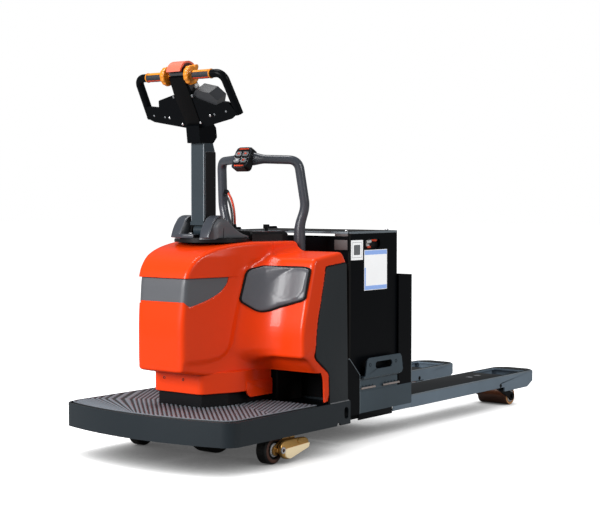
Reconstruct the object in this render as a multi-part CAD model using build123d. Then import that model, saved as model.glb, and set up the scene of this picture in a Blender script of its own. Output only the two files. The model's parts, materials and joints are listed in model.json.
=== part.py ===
from build123d import *
import math
import os

# Ride-on electric pallet truck, millimetres.
# The model is drawn with x measured back from the front edge of the platform,
# y across the truck and z up from the floor.  save() then moves everything so
# that the origin is at the middle of the overall length.
# "right" is the -y side and "left" the +y side.

# ---- driving dimensions ------------------------------------------------------
platform_length = 797.0      # front edge of the platform to the rear of the skirt
truck_width = 880.0
skirt_top = 207.0
skirt_bottom = 115.0
skirt_wall = 8.0
front_bulge = 70.0           # how far the curved front stands ahead of its corners
corner_radius = 60.0

fork_length = 1150.0
fork_spread = 685.0          # overall width over the two forks
fork_width = 218.0
fork_top = 155.0             # the forks stand part-raised
fork_side_height = 56.0
fork_wall = 8.0

hood_top = 846.0             # raised middle of the hood, where the tiller stands
shoulder_drop = 40.0         # shoulders of the hood below its top
steer_x = 458.0              # steering axis, common to the tiller and drive wheel
wheel_radius = 115.0
wheel_width = 80.0

tilt_back = 51.0             # tiller tilt axis, ahead of the steering axis
tilt_rise = 46.0             # and above the hood
column_width = 65.0
column_depth = 68.0
column_length = 370.0
grip_reach = 137.0           # grips ahead of the tilt axis
grip_rise = 601.0            # and above it
grip_radius = 17.0

battery_length = 356.0
battery_height = 669.0
tray_top = 211.0

roller_radius = 42.5
roller_width = 160.0
roller_arm = 160.0
roller_pivot_z = 110.0

caster_radius = 55.0
caster_width = 50.0
caster_x = 401.0
caster_inset = 99.0          # wheel middle in from the side of the platform

# ---- clearances --------------------------------------------------------------
running_gap = 0.3            # faces that slide past each other
pin_gap = 0.05               # radial play of a pin in its hole

# ---- derived places ----------------------------------------------------------
half_width = truck_width / 2
hood_rear = platform_length - 55.0       # rear of the raised middle of the hood
wall_front = platform_length - 300.0     # foremost edge of the full-width rear wall
wall_top = hood_top - shoulder_drop
tilt_x = steer_x - tilt_back
tilt_z = hood_top + tilt_rise
column_top = tilt_z + column_length
grip_x = tilt_x - grip_reach
grip_z = tilt_z + grip_rise
battery_front = platform_length + 130.0
battery_top = tray_top + battery_height
battery_rear = battery_front + battery_length
fork_heel = battery_rear + 107.0
overall_length = fork_heel + fork_length
fork_y = (fork_spread - fork_width) / 2
fork_outer = fork_spread / 2
caster_y = half_width - caster_inset


# ---- helpers -----------------------------------------------------------------
def save(name, *solids):
    """Write one node, moved so that x = 0 is the middle of the truck."""
    shift = Pos(-overall_length / 2, 0, 0)
    pieces = []
    for item in solids:
        pieces.extend((shift * item).solids())
    shape = pieces[0] if len(pieces) == 1 else Compound(children=pieces)
    shape.label = name
    export_step(shape, "parts/" + name + ".step")


def block(x0, x1, y0, y1, z0, z1):
    """Box between two corners."""
    middle = Pos((x0 + x1) / 2, (y0 + y1) / 2, (z0 + z1) / 2)
    return middle * Box(x1 - x0, y1 - y0, z1 - z0)


def side_prism(points, y0, y1):
    """Outline in x and z, drawn out from y0 to y1."""
    outline = make_face(Polyline(*points, close=True))
    return extrude(Plane.XZ.offset(-y1) * outline, amount=y1 - y0)


def plan_prism(points, z0, z1):
    """Outline in x and y, drawn up from z0 to z1."""
    outline = make_face(Polyline(*points, close=True))
    return extrude(Pos(0, 0, z0) * outline, amount=z1 - z0)


def mirrored_outline(points):
    """Close an outline of the right half (y < 0) with its mirror image."""
    return list(points) + [(x, -y) for x, y in reversed(points)]


def rod_y(x, z, radius, y0, y1):
    """Cylinder along y."""
    return Pos(x, (y0 + y1) / 2, z) * Rot(90, 0, 0) * Cylinder(radius, y1 - y0)


def rod_z(x, y, radius, z0, z1):
    """Cylinder along z."""
    return Pos(x, y, (z0 + z1) / 2) * Cylinder(radius, z1 - z0)


def rod_x(y, z, radius, x0, x1):
    """Cylinder along x."""
    return Pos((x0 + x1) / 2, y, z) * Rot(0, 90, 0) * Cylinder(radius, x1 - x0)


def slot_y(x, z, width, height, y0, y1):
    """Round-ended slot cutter along y; the longer size sets its direction."""
    radius = min(width, height) / 2
    reach_x = width / 2 - radius
    reach_z = height / 2 - radius
    body = block(x - reach_x - 0.001, x + reach_x + 0.001, y0, y1, z - height / 2, z + height / 2)
    if height > width:
        body = block(x - width / 2, x + width / 2, y0, y1, z - reach_z, z + reach_z)
    ends = [rod_y(x + sign * reach_x, z + sign * reach_z, radius, y0, y1) for sign in (-1, 1)]
    return body + ends[0] + ends[1]


def other_side(shape):
    """Mirror image on the other side of the truck."""
    return mirror(shape, about=Plane.XZ)


os.makedirs("parts", exist_ok=True)


# ---- platform ----------------------------------------------------------------
def platform_face(inset):
    """Plan of the platform, every side moved in by inset."""
    reach = half_width - inset
    rear = platform_length - inset
    corner = front_bulge + inset
    outline = make_face([
        Line((rear, -reach), (corner, -reach)),
        ThreePointArc((corner, -reach), (inset, 0), (corner, reach)),
        Line((corner, reach), (rear, reach)),
        Line((rear, reach), (rear, -reach)),
    ])
    corners = outline.vertices().filter_by(lambda v: v.X < corner + 1)
    return fillet(corners, max(corner_radius - inset, 5))


floor_thickness = 10.0
floor_top = skirt_top - 8.0
mat_gap = 4.0
mat_top = skirt_top + 5.0
plinth_front = 268.0
plinth_top = mat_top + 50.0
plinth_outline = mirrored_outline([
    (platform_length - 160, -158), (372, -158), (plinth_front, -112),
])
well_outline = mirrored_outline([
    (platform_length - 30, -152), (374, -152), (plinth_front + 8, -108),
])
foot_leg_x = platform_length - 190.0     # front of the hood's outer legs, where the mat ends


def skirt():
    """Deep steel rim around the platform, with a lifting slot and notch each side."""
    ring = extrude(Pos(0, 0, skirt_bottom) * platform_face(0), amount=skirt_top - skirt_bottom)
    ring -= extrude(Pos(0, 0, skirt_bottom) * platform_face(skirt_wall), amount=skirt_top)
    middle = (skirt_top + skirt_bottom) / 2
    for side in (-1, 1):
        edge = side * half_width
        low, high = min(edge - side * 20, edge + side * 5), max(edge - side * 20, edge + side * 5)
        ring -= slot_y(platform_length - 28, middle, 28, 48, low, high)
        ring -= rod_y(platform_length - 78, skirt_bottom, 12, low, high)
    return ring


save("platform_skirt", skirt())

floor = extrude(Pos(0, 0, floor_top - floor_thickness) * platform_face(skirt_wall), amount=floor_thickness)
floor -= plan_prism(well_outline, 0, 400)
save("floor_plate", floor)

mat = extrude(Pos(0, 0, floor_top) * platform_face(skirt_wall + mat_gap), amount=mat_top - floor_top)
mat -= plan_prism(plinth_outline, 0, 400)
mat -= block(foot_leg_x - 8, platform_length, -half_width, half_width, 0, 400)
save("platform_mat", mat)

plinth = plan_prism(plinth_outline, mat_top - 13, plinth_top)
plinth -= plan_prism(well_outline, 0, 400)
plinth -= block(platform_length - 165, platform_length, -200, 200, 0, 400)
save("plinth", plinth)

# ---- underframe: cross channels, turret ring, caster lugs, rear gussets -------
frame_top = floor_top - floor_thickness
frame_bottom = frame_top - 39.0
turret_radius = wheel_radius + 37.0
rear_member = platform_length - 157.0
gusset_top = skirt_top + 152.0
gusset_bottom = skirt_bottom + 5.0
gusset_length = 189.0
gusset_inner = fork_outer + 2.0
gusset_outer = gusset_inner + 8.0
caster_pivot_x = caster_x + 86
caster_pivot_z = 101.0
caster_pin = 8.0


def underframe():
    """Members under the floor that carry the turret, the casters and the rear end."""
    rim = half_width - skirt_wall
    frame = block(170, 250, -rim + 6, rim - 6, frame_bottom, frame_top)
    frame += block(rear_member, rear_member + 80, -rim, rim, frame_bottom, frame_top)
    frame += rod_z(steer_x, 0, turret_radius + 66, frame_bottom, frame_top)
    frame -= rod_z(steer_x, 0, turret_radius, 0, 400)
    rail = block(170, platform_length - skirt_wall, turret_radius + 56, turret_radius + 116,
                 frame_bottom, frame_top)
    shelf = block(caster_pivot_x - 25, caster_pivot_x + 60, turret_radius + 60, rim,
                  frame_bottom + 18, frame_top)
    hanger = block(caster_pivot_x - 16, caster_pivot_x + 16, caster_y - 12, caster_y + 12, 86, frame_top)
    hanger -= rod_y(caster_pivot_x, caster_pivot_z, caster_pin + pin_gap, 0, half_width)
    side = rail + shelf + hanger
    return frame + side + other_side(side)


save("underframe", underframe())


def gusset(side):
    """Rear side plate of the chassis with its sloped top corner."""
    rear = platform_length + gusset_length
    points = [
        (platform_length, gusset_bottom), (rear, gusset_bottom), (rear, gusset_top - 72),
        (rear - 76, gusset_top), (platform_length, gusset_top),
    ]
    plate = side_prism(points, gusset_inner, gusset_outer)
    web = block(platform_length, platform_length + 8, gusset_outer - 60, half_width - 30, gusset_bottom,
                gusset_top)
    plate += web
    return plate if side > 0 else other_side(plate)


save("rear_gussets", gusset(-1), gusset(1))

# ---- power unit between the hood and the battery -------------------------------
rail_y = fork_outer - 80.5
unit_rear = battery_front - 22
unit_top = wall_top - 64.0


def power_unit():
    """Pump and controller housing with the two lift guide rails on its rear face."""
    start = platform_length + 8
    unit = block(start, unit_rear, 12.5 - fork_outer, fork_outer - 12.5, gusset_bottom + 10, unit_top)
    unit = chamfer(unit.faces().sort_by(Axis.Z)[-1].edges(), 10)
    for side in (-1, 1):
        unit += block(unit_rear, battery_front - 6, side * rail_y - 16, side * rail_y + 16,
                      gusset_bottom + 20, unit_top - 42)
    return unit


save("power_unit", power_unit())

# ---- hood --------------------------------------------------------------------
panel_plane = half_width - 8
hood_skin = 8.0
nose_front = 150.0
nose_bottom = plinth_top + 66.0
nose_width = 452.0           # across its rear end
nose_half = nose_width / 2
nose_profile = [
    (nose_front - 3, nose_bottom + 28), (nose_front - 4, hood_top - 326), (nose_front + 7, hood_top - 246),
    (nose_front + 18, hood_top - 146), (nose_front + 24, hood_top - 130), (nose_front + 31, hood_top - 103),
    (nose_front + 60, hood_top - 70), (nose_front + 85, hood_top - 52), (nose_front + 115, hood_top - 34),
    (nose_front + 160, hood_top - 19), (nose_front + 245, hood_top - 6), (nose_front + 320, hood_top),
    (hood_rear, hood_top), (hood_rear, nose_bottom), (nose_front + 200, nose_bottom),
    (nose_front + 100, nose_bottom + 8),
]
nose_plan = mirrored_outline([
    (hood_rear, -nose_half), (hood_rear - 102, 12 - nose_half), (hood_rear - 202, 22 - nose_half),
    (wall_front, 29 - nose_half), (nose_front - 4, 109 - nose_half),
])
wall_rear = platform_length - 15
wall_profile = [
    (foot_leg_x, floor_top), (foot_leg_x - 5, 322), (wall_front + 35, 388), (wall_front, 404),
    (wall_front, 518), (wall_front + 70, wall_top - 36), (wall_front + 81, wall_top - 22),
    (hood_rear - 2, wall_top), (hood_rear + 14, wall_top - 2), (wall_rear - 6, wall_top - 30),
    (wall_rear, wall_top - 40), (platform_length - 8, floor_top),
]
opening_inner = 205.0
opening_outer = half_width - 42.0
opening_top = 336.0


band_half = 182.0
band_top = nose_bottom + 17.0
band_rear = foot_leg_x - 7.0
band_outer = mirrored_outline([(band_rear, -190), (440, -190), (388, -180), (250, -122)])
band_inner = mirrored_outline([(band_rear + 1, -band_half), (443, -band_half), (391, -172), (258, -116)])
shaft_radius = 44.0


def shrink(points, amount):
    """The same outline moved inwards by amount."""
    return offset(make_face(Polyline(*points, close=True)), -amount)


def nose_block(inset):
    """Front body of the hood: plan outline cut to the side profile."""
    plan_face = shrink(nose_plan, inset) if inset else make_face(Polyline(*nose_plan, close=True))
    side_face = shrink(nose_profile, inset) if inset else make_face(Polyline(*nose_profile, close=True))
    tall = extrude(plan_face, amount=1000)
    wide = extrude(Plane.XZ.offset(-400) * side_face, amount=800)
    return tall & wide


def hood_nose():
    """Hollow nose, open below and behind, with the steering shaft hole in its top."""
    body = nose_block(0) - nose_block(hood_skin)
    body -= side_prism(wall_profile, -half_width, half_width)
    body -= block(hood_rear - hood_skin - 1, hood_rear + 18, -400, 400, 300, wall_top)
    body -= rod_z(steer_x, 0, shaft_radius + 2, hood_top - 146, hood_top + 54)
    body -= plan_prism(band_inner, 300, band_top + 55)
    body -= block(band_rear - 40, hood_rear + 18, -band_half, band_half, 300, band_top)
    return body + lower_band()


def lower_band():
    """Orange band under the nose that runs back beside the foot openings."""
    return plan_prism(band_outer, plinth_top, band_top) - plan_prism(band_inner, 0, 400)


def hood_wall():
    """Full-width rear wall of the hood, open below, with a foot opening each side."""
    inner = extrude(Plane.XZ.offset(-(panel_plane - hood_skin)) * shrink(wall_profile, hood_skin),
                    amount=2 * (panel_plane - hood_skin))
    body = side_prism(wall_profile, -panel_plane, panel_plane) - inner
    body -= block(400, platform_length, -panel_plane + hood_skin, panel_plane - hood_skin, 150, 215)
    for side in (-1, 1):
        low = min(side * opening_inner, side * opening_outer)
        body -= block(400, hood_rear + 18, low, low + opening_outer - opening_inner, 150, opening_top)
    body -= block(400, hood_rear + 18, 8 - opening_inner, opening_inner - 8, 150, wall_top - 6)
    return body


cap_bottom = hood_top - 132.0
cap_lip = 6.0
bar_foot_x = platform_length - 20.0
bar_foot_y = 196.0


def nose_cap():
    """Upper part of the nose, standing out over the badge band."""
    cap = nose_block(-cap_lip) - nose_block(0)
    cap &= block(0, wall_front - 17, -400, 400, cap_bottom, hood_top - 18)
    return cap


panel_front = platform_length - 138.0
panel_outline = [
    (panel_front, skirt_top), (panel_front - 4, 332), (wall_front + 69, 400), (wall_front + 79, 509),
    (wall_front + 138, wall_top - 56), (wall_rear - 12, wall_top - 44), (platform_length - 16, skirt_top),
]


def wall_edge(side):
    """Orange margin around the side panel, out to the full width."""
    low, high = panel_plane, half_width
    edge = side_prism(wall_profile, low, high)
    edge -= extrude(Plane.XZ.offset(-high - 1) * offset(make_face(Polyline(*panel_outline, close=True)), 3),
                    amount=high - low + 2)
    edge &= block(400, platform_length + 3, low, high, mat_top - 5, hood_top)
    return edge if side > 0 else other_side(edge)


wall = hood_wall()
for side in (-1, 1):
    foot = side * bar_foot_y
    wall -= block(bar_foot_x - 23, bar_foot_x + 23, foot - 26, foot + 26, unit_top - 52, wall_top + 14)
    wall += [piece for piece in wall_edge(side).solids() if piece.volume > 5000]
save("hood_nose", hood_nose() + nose_cap())
save("hood_wall", wall)

for name, side in (("side_panel_right", -1), ("side_panel_left", 1)):
    panel = side_prism(panel_outline, panel_plane, half_width)
    save(name, panel if side > 0 else other_side(panel))

band_outline = [
    (nose_front - 20, cap_bottom - 92), (nose_front, cap_bottom - 92), (nose_front + 35, cap_bottom - 111),
    (nose_front + 115, cap_bottom - 89), (nose_front + 180, cap_bottom - 59),
    (nose_front + 212, cap_bottom - 24), (nose_front + 218, cap_bottom), (nose_front - 20, cap_bottom),
]
band = (nose_block(-2.5) - nose_block(0)) & side_prism(band_outline, -300, 300)
save("badge_band", band)

# ---- back pads: soft, one in each concave corner of the hood -------------------
pad_thickness = 14.0
pad_top = wall_top - 58.0
pad_bottom = pad_top - 188.0
pad_outer = half_width - 16.0
pad_front_outline = [(-pad_outer, pad_top), (26 - nose_half, pad_top), (26 - nose_half, pad_bottom),
                     (-36 - nose_half, pad_bottom + 6), (4 - pad_outer, pad_bottom + 62)]
pad_side_outline = [
    (wall_front - 87, pad_bottom + 58), (wall_front - 47, pad_top - 10), (wall_front + 73, pad_top),
    (wall_front + 73, pad_bottom), (wall_front + 3, pad_bottom + 6),
]


def back_pad():
    """Pad on the right: one leg along the nose, one across the rear wall."""
    wall_face = make_face(Polyline(*wall_profile, close=True))
    thick = extrude(Plane.XZ.offset(500) * Pos(-pad_thickness, 0) * wall_face, amount=-1000)
    near = extrude(Plane.XZ.offset(500) * Pos(-running_gap, 0) * wall_face, amount=-1000)
    across = thick & extrude(Plane.YZ.offset(400) * make_face(Polyline(*pad_front_outline, close=True)),
                             amount=wall_front - 197)
    along = nose_block(-pad_thickness) & side_prism(pad_side_outline, -400, -100)
    return (across + along) - near - nose_block(-running_gap) - nose_cap()


right_pad = back_pad()
save("back_pad_right", right_pad)
save("back_pad_left", other_side(right_pad))

# ---- console on the hood -------------------------------------------------------
console_top = hood_top + 40.0
disc_radius = 150.0
knob_x, knob_y = hood_rear - 38.0, -80.0


def console():
    """Black housing behind the tiller base, bevelled round its top."""
    plan = mirrored_outline([(hood_rear, -150), (hood_rear - 7, -168), (hood_rear - 42, -168),
                             (hood_rear - 167, -112)])
    body = plan_prism(plan, hood_top, console_top)
    body = chamfer(body.faces().sort_by(Axis.Z)[-1].edges(), 12)
    return body - rod_z(steer_x, 0, disc_radius + 6, hood_top - 1, console_top + 1)


knob_stem = 7.0
knob = rod_z(knob_x, knob_y, knob_stem, console_top - 4, console_top + 12)
knob += rod_z(knob_x, knob_y, 13, console_top + 10, console_top + 26)
save("console", console() - rod_z(knob_x, knob_y, knob_stem + pin_gap, console_top - 12, console_top + 1))
save("console_knob", knob)

# ---- grab bar with its key pod ---------------------------------------------------
bar_radius = 19.0
bar_top_z = wall_top + 368.0
pod_tilt = math.radians(28)
pod_plane = Plane(origin=(bar_foot_x - 125, 0, bar_top_z + 7), x_dir=(0, -1, 0),
                  z_dir=(-math.cos(pod_tilt), 0, math.sin(pod_tilt)))
bar_points = [
    (bar_foot_x, -bar_foot_y, wall_top + 29), (bar_foot_x, -bar_foot_y, wall_top + 99),
    (bar_foot_x + 5, -26 - bar_foot_y, wall_top + 179), (bar_foot_x - 21, -10 - bar_foot_y, bar_top_z),
    (bar_foot_x - 107, -30, bar_top_z + 6),
]
bar_points += [(x, -y, z) for x, y, z in reversed(bar_points)]
bar_radii = [60, 60, 42, 50, 50, 42, 60, 60]
pod_size = (84.0, 96.0, 34.0)
foot_half = 22.5
foot_outline = [
    (bar_foot_x - foot_half, wall_top - 62), (bar_foot_x + foot_half, wall_top - 62),
    (bar_foot_x + foot_half, wall_top - 6), (bar_foot_x + 20, wall_top + 44),
    (bar_foot_x - 20, wall_top + 44), (bar_foot_x - foot_half, wall_top - 6),
]


def grab_bar():
    """Bent tube across the hood with a flared foot at each end."""
    path = FilletPolyline(*bar_points, radius=bar_radii)
    tube = sweep(Plane(origin=path @ 0, z_dir=path % 0) * Circle(bar_radius), path=path)
    for side in (-1, 1):
        tube += side_prism(foot_outline, side * bar_foot_y - 22, side * bar_foot_y + 22)
    return tube


def pod_housing():
    """Key pod clamped round the middle of the bar."""
    width, height, depth = pod_size
    shell = Box(width, height, depth)
    shell = fillet(shell.edges().filter_by(Axis.Z), 14)
    shell = chamfer(shell.faces().sort_by(Axis.Z)[-1].edges(), 3)
    return pod_plane.location * Pos(0, 0, -6) * shell


bar = grab_bar()
pod = pod_housing()
key_size = (26.0, 20.0)
key_places = [(-18, 15), (18, 15), (-18, -15), (18, -15)]
pod_face = pod_size[2] / 2 - 6
for index, (across, up) in enumerate(key_places):
    well = Box(key_size[0] + 0.6, key_size[1] + 0.6, 10)
    pod -= pod_plane.location * Pos(across, up, pod_face) * well
    key = fillet(Box(key_size[0], key_size[1], 6).edges().filter_by(Axis.Z), 3)
    save("pod_key_" + str(index + 1), pod_plane.location * Pos(across, up, pod_face + 0.5) * key)
save("grab_bar", bar - pod)
save("pod_housing", pod)

# cable pair from the console to the left leg of the bar
cable_radius = 5.0
cable_routes = [
    [(722, 118, console_top), (722, 118, 930), (728, 132, 985), (750, 168, 1022), (764, 193.5, 1034)],
    [(736, 116, console_top), (736, 116, 934), (742, 131, 994), (760, 166, 1034), (771, 190.5, 1047)],
]
cables = []
for route in cable_routes:
    line = FilletPolyline(*route, radius=[45, 60, 50])
    cables.append(sweep(Plane(origin=line @ 0, z_dir=line % 0) * Circle(cable_radius), path=line))
save("pod_cables", *cables)

# ---- steering body: tiller base, ear covers, drive unit ---------------------------
base_bottom = hood_top + running_gap
base_top = hood_top + 18
motor_top = base_bottom - 226.3
cheek_inner = column_width / 2 + 4.0
cheek_outer = cheek_inner + 10.0
ear_inner = cheek_outer + 1.5
pin_radius = 12.0
turret_play = 0.1
cheek_outline = [(tilt_x - 34, base_top), (tilt_x - 24, tilt_z + 16), (tilt_x - 12, tilt_z + 30),
                 (tilt_x + 18, tilt_z + 30), (tilt_x + 34, tilt_z + 8), (tilt_x + 44, base_top)]
ear_outline = [
    (tilt_x - 77, base_top), (tilt_x - 72, base_top + 20), (tilt_x - 57, base_top + 52),
    (tilt_x - 36, base_top + 77), (tilt_x - 15, base_top + 87), (tilt_x + 3, base_top + 84),
    (tilt_x + 29, base_top + 62), (tilt_x + 59, base_top + 36), (tilt_x + 103, base_top + 18),
    (tilt_x + 153, base_top + 9), (tilt_x + 181, base_top + 5), (tilt_x + 185, base_top),
]


def tiller_base():
    """Stepped turntable with the steering shaft, the pivot cheeks and a front stop block."""
    base = rod_z(steer_x, 0, disc_radius, base_bottom, base_top - 6)
    base += rod_z(steer_x, 0, disc_radius - 10, base_top - 6, base_top)
    base += rod_z(steer_x, 0, shaft_radius, motor_top, base_bottom)
    base += block(steer_x - 140, steer_x - 108, -30, 30, base_top, base_top + 12)
    for side in (-1, 1):
        low = min(side * cheek_inner, side * cheek_outer)
        base += side_prism(cheek_outline, low, low + cheek_outer - cheek_inner)
    return base - rod_y(tilt_x, tilt_z, pin_radius + pin_gap, -60, 60)


def ear_cover():
    """Domed cover beside the left cheek, following the rim of the turntable."""
    ear = side_prism(ear_outline, ear_inner, ear_inner + 64)
    return ear & rod_z(steer_x, 0, disc_radius - 3, base_top, base_top + 136)


save("tiller_base", tiller_base())
save("tiller_ears", ear_cover(), other_side(ear_cover()))

wheel_side_gap = 6.0
fork_cheek_inner = wheel_width / 2 + wheel_side_gap
fork_cheek_outer = fork_cheek_inner + 14
axle_radius = 15.0
motor_radius = 95.0


def drive_unit():
    """Traction motor over a fork that holds the drive wheel, turning in the turret ring."""
    crown = wheel_radius * 2 + 10
    unit = rod_z(steer_x, 0, turret_radius - turret_play, frame_bottom, frame_top - 1)
    unit -= block(steer_x - wheel_radius - 8, steer_x + wheel_radius + 8,
                  -fork_cheek_inner, fork_cheek_inner, 0, crown)
    for side in (-1, 1):
        low = min(side * fork_cheek_inner, side * fork_cheek_outer)
        unit += block(steer_x - 70, steer_x + 70, low, low + fork_cheek_outer - fork_cheek_inner, 80, crown)
    unit += block(steer_x - 70, steer_x + 70, -fork_cheek_outer, fork_cheek_outer, crown, crown + 14)
    unit += rod_z(steer_x, 0, motor_radius, crown + 14, motor_top - 30)
    unit += rod_z(steer_x, 0, 60, motor_top - 30, motor_top)
    return unit + rod_y(steer_x, wheel_radius, axle_radius, -fork_cheek_inner, fork_cheek_inner)


save("drive_unit", drive_unit())
hub_radius = 78.0
wheel_half = wheel_width / 2
wheel_hub = rod_y(steer_x, wheel_radius, hub_radius, -wheel_half, wheel_half)
wheel_hub -= rod_y(steer_x, wheel_radius, hub_radius - 14, wheel_half - 14, wheel_half)
wheel_hub -= rod_y(steer_x, wheel_radius, hub_radius - 14, -wheel_half, 14 - wheel_half)
wheel_hub += rod_y(steer_x, wheel_radius, 30, -wheel_half, wheel_half)
wheel_hub -= rod_y(steer_x, wheel_radius, axle_radius + pin_gap, -wheel_half, wheel_half)
save("drive_hub", wheel_hub)
tyre = rod_y(steer_x, wheel_radius, wheel_radius, -wheel_half, wheel_half)
tyre = chamfer(tyre.edges().filter_by(GeomType.CIRCLE), 5)
tyre -= rod_y(steer_x, wheel_radius, hub_radius, -wheel_half, wheel_half)
save("drive_tyre", tyre)

# ---- tiller ------------------------------------------------------------------------
collar_bottom = tilt_z + 21
column_front = tilt_x - column_depth / 2
column_back = tilt_x + column_depth / 2
insert_thickness = 2.5


def tiller_column():
    """Box column on a round clevis foot with its pivot pin."""
    half = column_width / 2
    column = side_prism([(column_front, collar_bottom), (column_back, collar_bottom),
                         (column_back, column_top - 60), (column_back - 12, column_top - 26),
                         (column_front, column_top - 26)], -half, half)
    column += block(column_front - 4, column_back + 4, -half - 3, half + 3,
                    collar_bottom, collar_bottom + 14)
    column += rod_y(tilt_x, tilt_z, 24, -half, half)
    column += block(tilt_x - 20, tilt_x + 20, -half, half, tilt_z, collar_bottom)
    return column + rod_y(tilt_x, tilt_z, pin_radius, -cheek_outer, cheek_outer)


def column_insert():
    """Textured strip on the left face of the column."""
    half = column_width / 2
    return block(column_front + 10, column_back, half, half + insert_thickness, collar_bottom + 18,
                 column_top - 62)


save("tiller_column", tiller_column())
save("column_inserts", column_insert(), other_side(column_insert()))

# Frame of the head: x across to the right, y up along the tilted plate, z out of its face.
head_lean = math.radians(29.7)
plate_foot_x, plate_foot_z = tilt_x - 45.0, column_top + 33.0
head_plane = Plane(origin=(plate_foot_x, 0, plate_foot_z), x_dir=(0, -1, 0),
                   z_dir=(-math.cos(head_lean), 0, -math.sin(head_lean)))
plate_thickness = 8.0
grip_along = (grip_z - plate_foot_z) * math.cos(head_lean)
grip_along -= (grip_x - plate_foot_x) * math.sin(head_lean)
grip_depth = (plate_foot_x - grip_x) * math.cos(head_lean)
grip_depth -= (grip_z - plate_foot_z) * math.sin(head_lean)
loop_radius = 16.0
grip_start, grip_end = 76.0, 168.0
wing_corner = (238, 52)
plate_outline = [
    (-40, 0), (-205, 33), (-wing_corner[0], wing_corner[1]), (-214, 102), (-152, 94), (-140, 124),
    (-45, 146), (-38, 222), (38, 222), (44, 132), (139, 90), (190, 106), (214, 102), wing_corner,
    (205, 33), (40, 0),
]


def head_prism(points, low, high):
    """Outline in the plane of the head, thickened from low to high along its face direction."""
    face = make_face(Polyline(*points, close=True))
    return head_plane.location * extrude(Pos(0, 0, low) * face, amount=high - low)


def tiller_neck():
    """Black box that leans the head forward from the top of the column."""
    top = column_top - 26
    return side_prism([(tilt_x - 55, top), (tilt_x + 23, top), (tilt_x + 45, top + 24),
                       (tilt_x + 40, top + 62), (tilt_x - 9, top + 112), (plate_foot_x - 18, top + 66)],
                      -34, 34)


def loop_guard(side):
    """Bent tube from the wing of the plate round to the end of the grip."""
    points = [(side * 232, 44, grip_depth), (side * 222, grip_along, grip_depth),
              (side * (grip_end + 2), grip_along, grip_depth)]
    path = FilletPolyline(*points, radius=[34])
    tube = sweep(Plane(origin=path @ 0, z_dir=path % 0) * Circle(loop_radius), path=path)
    return head_plane.location * tube


loops = {side: loop_guard(side) for side in (-1, 1)}
neck = tiller_neck()
plate = head_prism(plate_outline, -plate_thickness, 0)
plate -= neck
for side in (-1, 1):
    plate -= loops[side]
save("tiller_neck", neck)
save("head_plate", plate)
save("loop_guard_right", loops[1])
save("loop_guard_left", loops[-1])

housing_x, housing_z = grip_x + 15.0, grip_z + 5.0
housing_radius = 34.0
cap_outer = 52.0
cap_inner = 45.0
thumb_radius = 38.0
thumb_start, thumb_end = 50.0, 73.0
thumb_shaft = 9.0
thumb_reach = 88.0
post_half = 36.0
horn_radius = 10.0
cap_along = (housing_z - plate_foot_z) * math.cos(head_lean)
cap_along -= (housing_x - plate_foot_x) * math.sin(head_lean)
cap_depth = (plate_foot_x - housing_x) * math.cos(head_lean)
cap_depth -= (housing_z - plate_foot_z) * math.sin(head_lean)


def guide_stem(gap, extra):
    """Tongue under the safety cap; gap and extra enlarge it to its pocket in the housing."""
    across, low, high = 20 + gap, cap_along + 20 - extra, cap_along + cap_inner + 1
    return head_prism([(-across, low), (-across, high), (across, high), (across, low)],
                      cap_depth - 6 - gap, cap_depth + 6 + gap)


def horn_at(offset):
    """Place of the horn button, offset out of the right face of the housing."""
    spot = head_plane.location * Pos(post_half + offset, 158, -45)
    return spot * Rot(0, 90, 0)


def head_housing():
    """Switch housing behind the plate with the raised box on its right and the post up to the grips."""
    back = -plate_thickness
    body = head_prism([(-120, 30), (-130, 84), (-60, 128), (60, 128), (60, 30)], back - 46, back)
    body += head_prism([(30, 30), (30, 128), (66, 158), (128, 142), (156, 108), (110, 34)], back - 60, back)
    body += head_prism([(-post_half, 90), (-post_half, grip_along - 20), (post_half, grip_along - 20),
                        (post_half, 90)], back - 56, back)
    body += rod_y(housing_x, housing_z, housing_radius, -post_half, post_half)
    body -= rod_y(grip_x, grip_z, thumb_shaft + pin_gap, -post_half - 1, post_half + 1)
    body -= head_prism([(-60, -10), (-60, grip_along + 8), (60, grip_along + 8), (60, -10)], back, 60)
    body -= guide_stem(running_gap, 6)
    body -= horn_at(-4) * Cylinder(horn_radius + pin_gap, 24)
    return body - neck


save("head_housing", head_housing())


def grip(side):
    """Straight hand grip between the thumb wheel and the loop guard."""
    low, high = min(side * grip_start, side * grip_end), max(side * grip_start, side * grip_end)
    handle = rod_y(grip_x, grip_z, grip_radius, low, high)
    return handle - rod_y(grip_x, grip_z, thumb_shaft + pin_gap, -thumb_reach - 2, thumb_reach + 2)


def grip_core(side):
    """Steel core that carries the grip from the loop guard."""
    low, high = min(side * grip_end, side * (grip_end + 2)), max(side * grip_end, side * (grip_end + 2))
    return rod_y(grip_x, grip_z, grip_radius - 4, low, high)


for name, side in (("grip_right", -1), ("grip_left", 1)):
    save(name, grip(side) + grip_core(side))


def thumb_wheels():
    """Two lift and travel wheels on one shaft, each with a finger tab."""
    shaft = rod_y(grip_x, grip_z, thumb_shaft, -thumb_reach, thumb_reach)
    for side in (-1, 1):
        low = min(side * thumb_start, side * thumb_end)
        wheel = rod_y(grip_x, grip_z, thumb_radius, low, low + thumb_end - thumb_start)
        tab = block(grip_x + 10, grip_x + 34, low, low + thumb_end - thumb_start, grip_z + 20, grip_z + 44)
        shaft += wheel + tab
    return shaft


def safety_cap():
    """Arched collision button over the end of the tiller head."""
    arch = rod_y(housing_x, housing_z, cap_outer, -post_half, post_half)
    arch -= rod_y(housing_x, housing_z, cap_inner, -post_half, post_half)
    arch -= block(housing_x - 80, housing_x + 80, -60, 60, housing_z - 80, housing_z + 8)
    arch -= side_prism([(housing_x, housing_z), (housing_x + 90, housing_z + 78),
                        (housing_x + 90, housing_z - 9), (housing_x, housing_z - 9)], -60, 60)
    return arch + guide_stem(0, 0)


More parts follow.
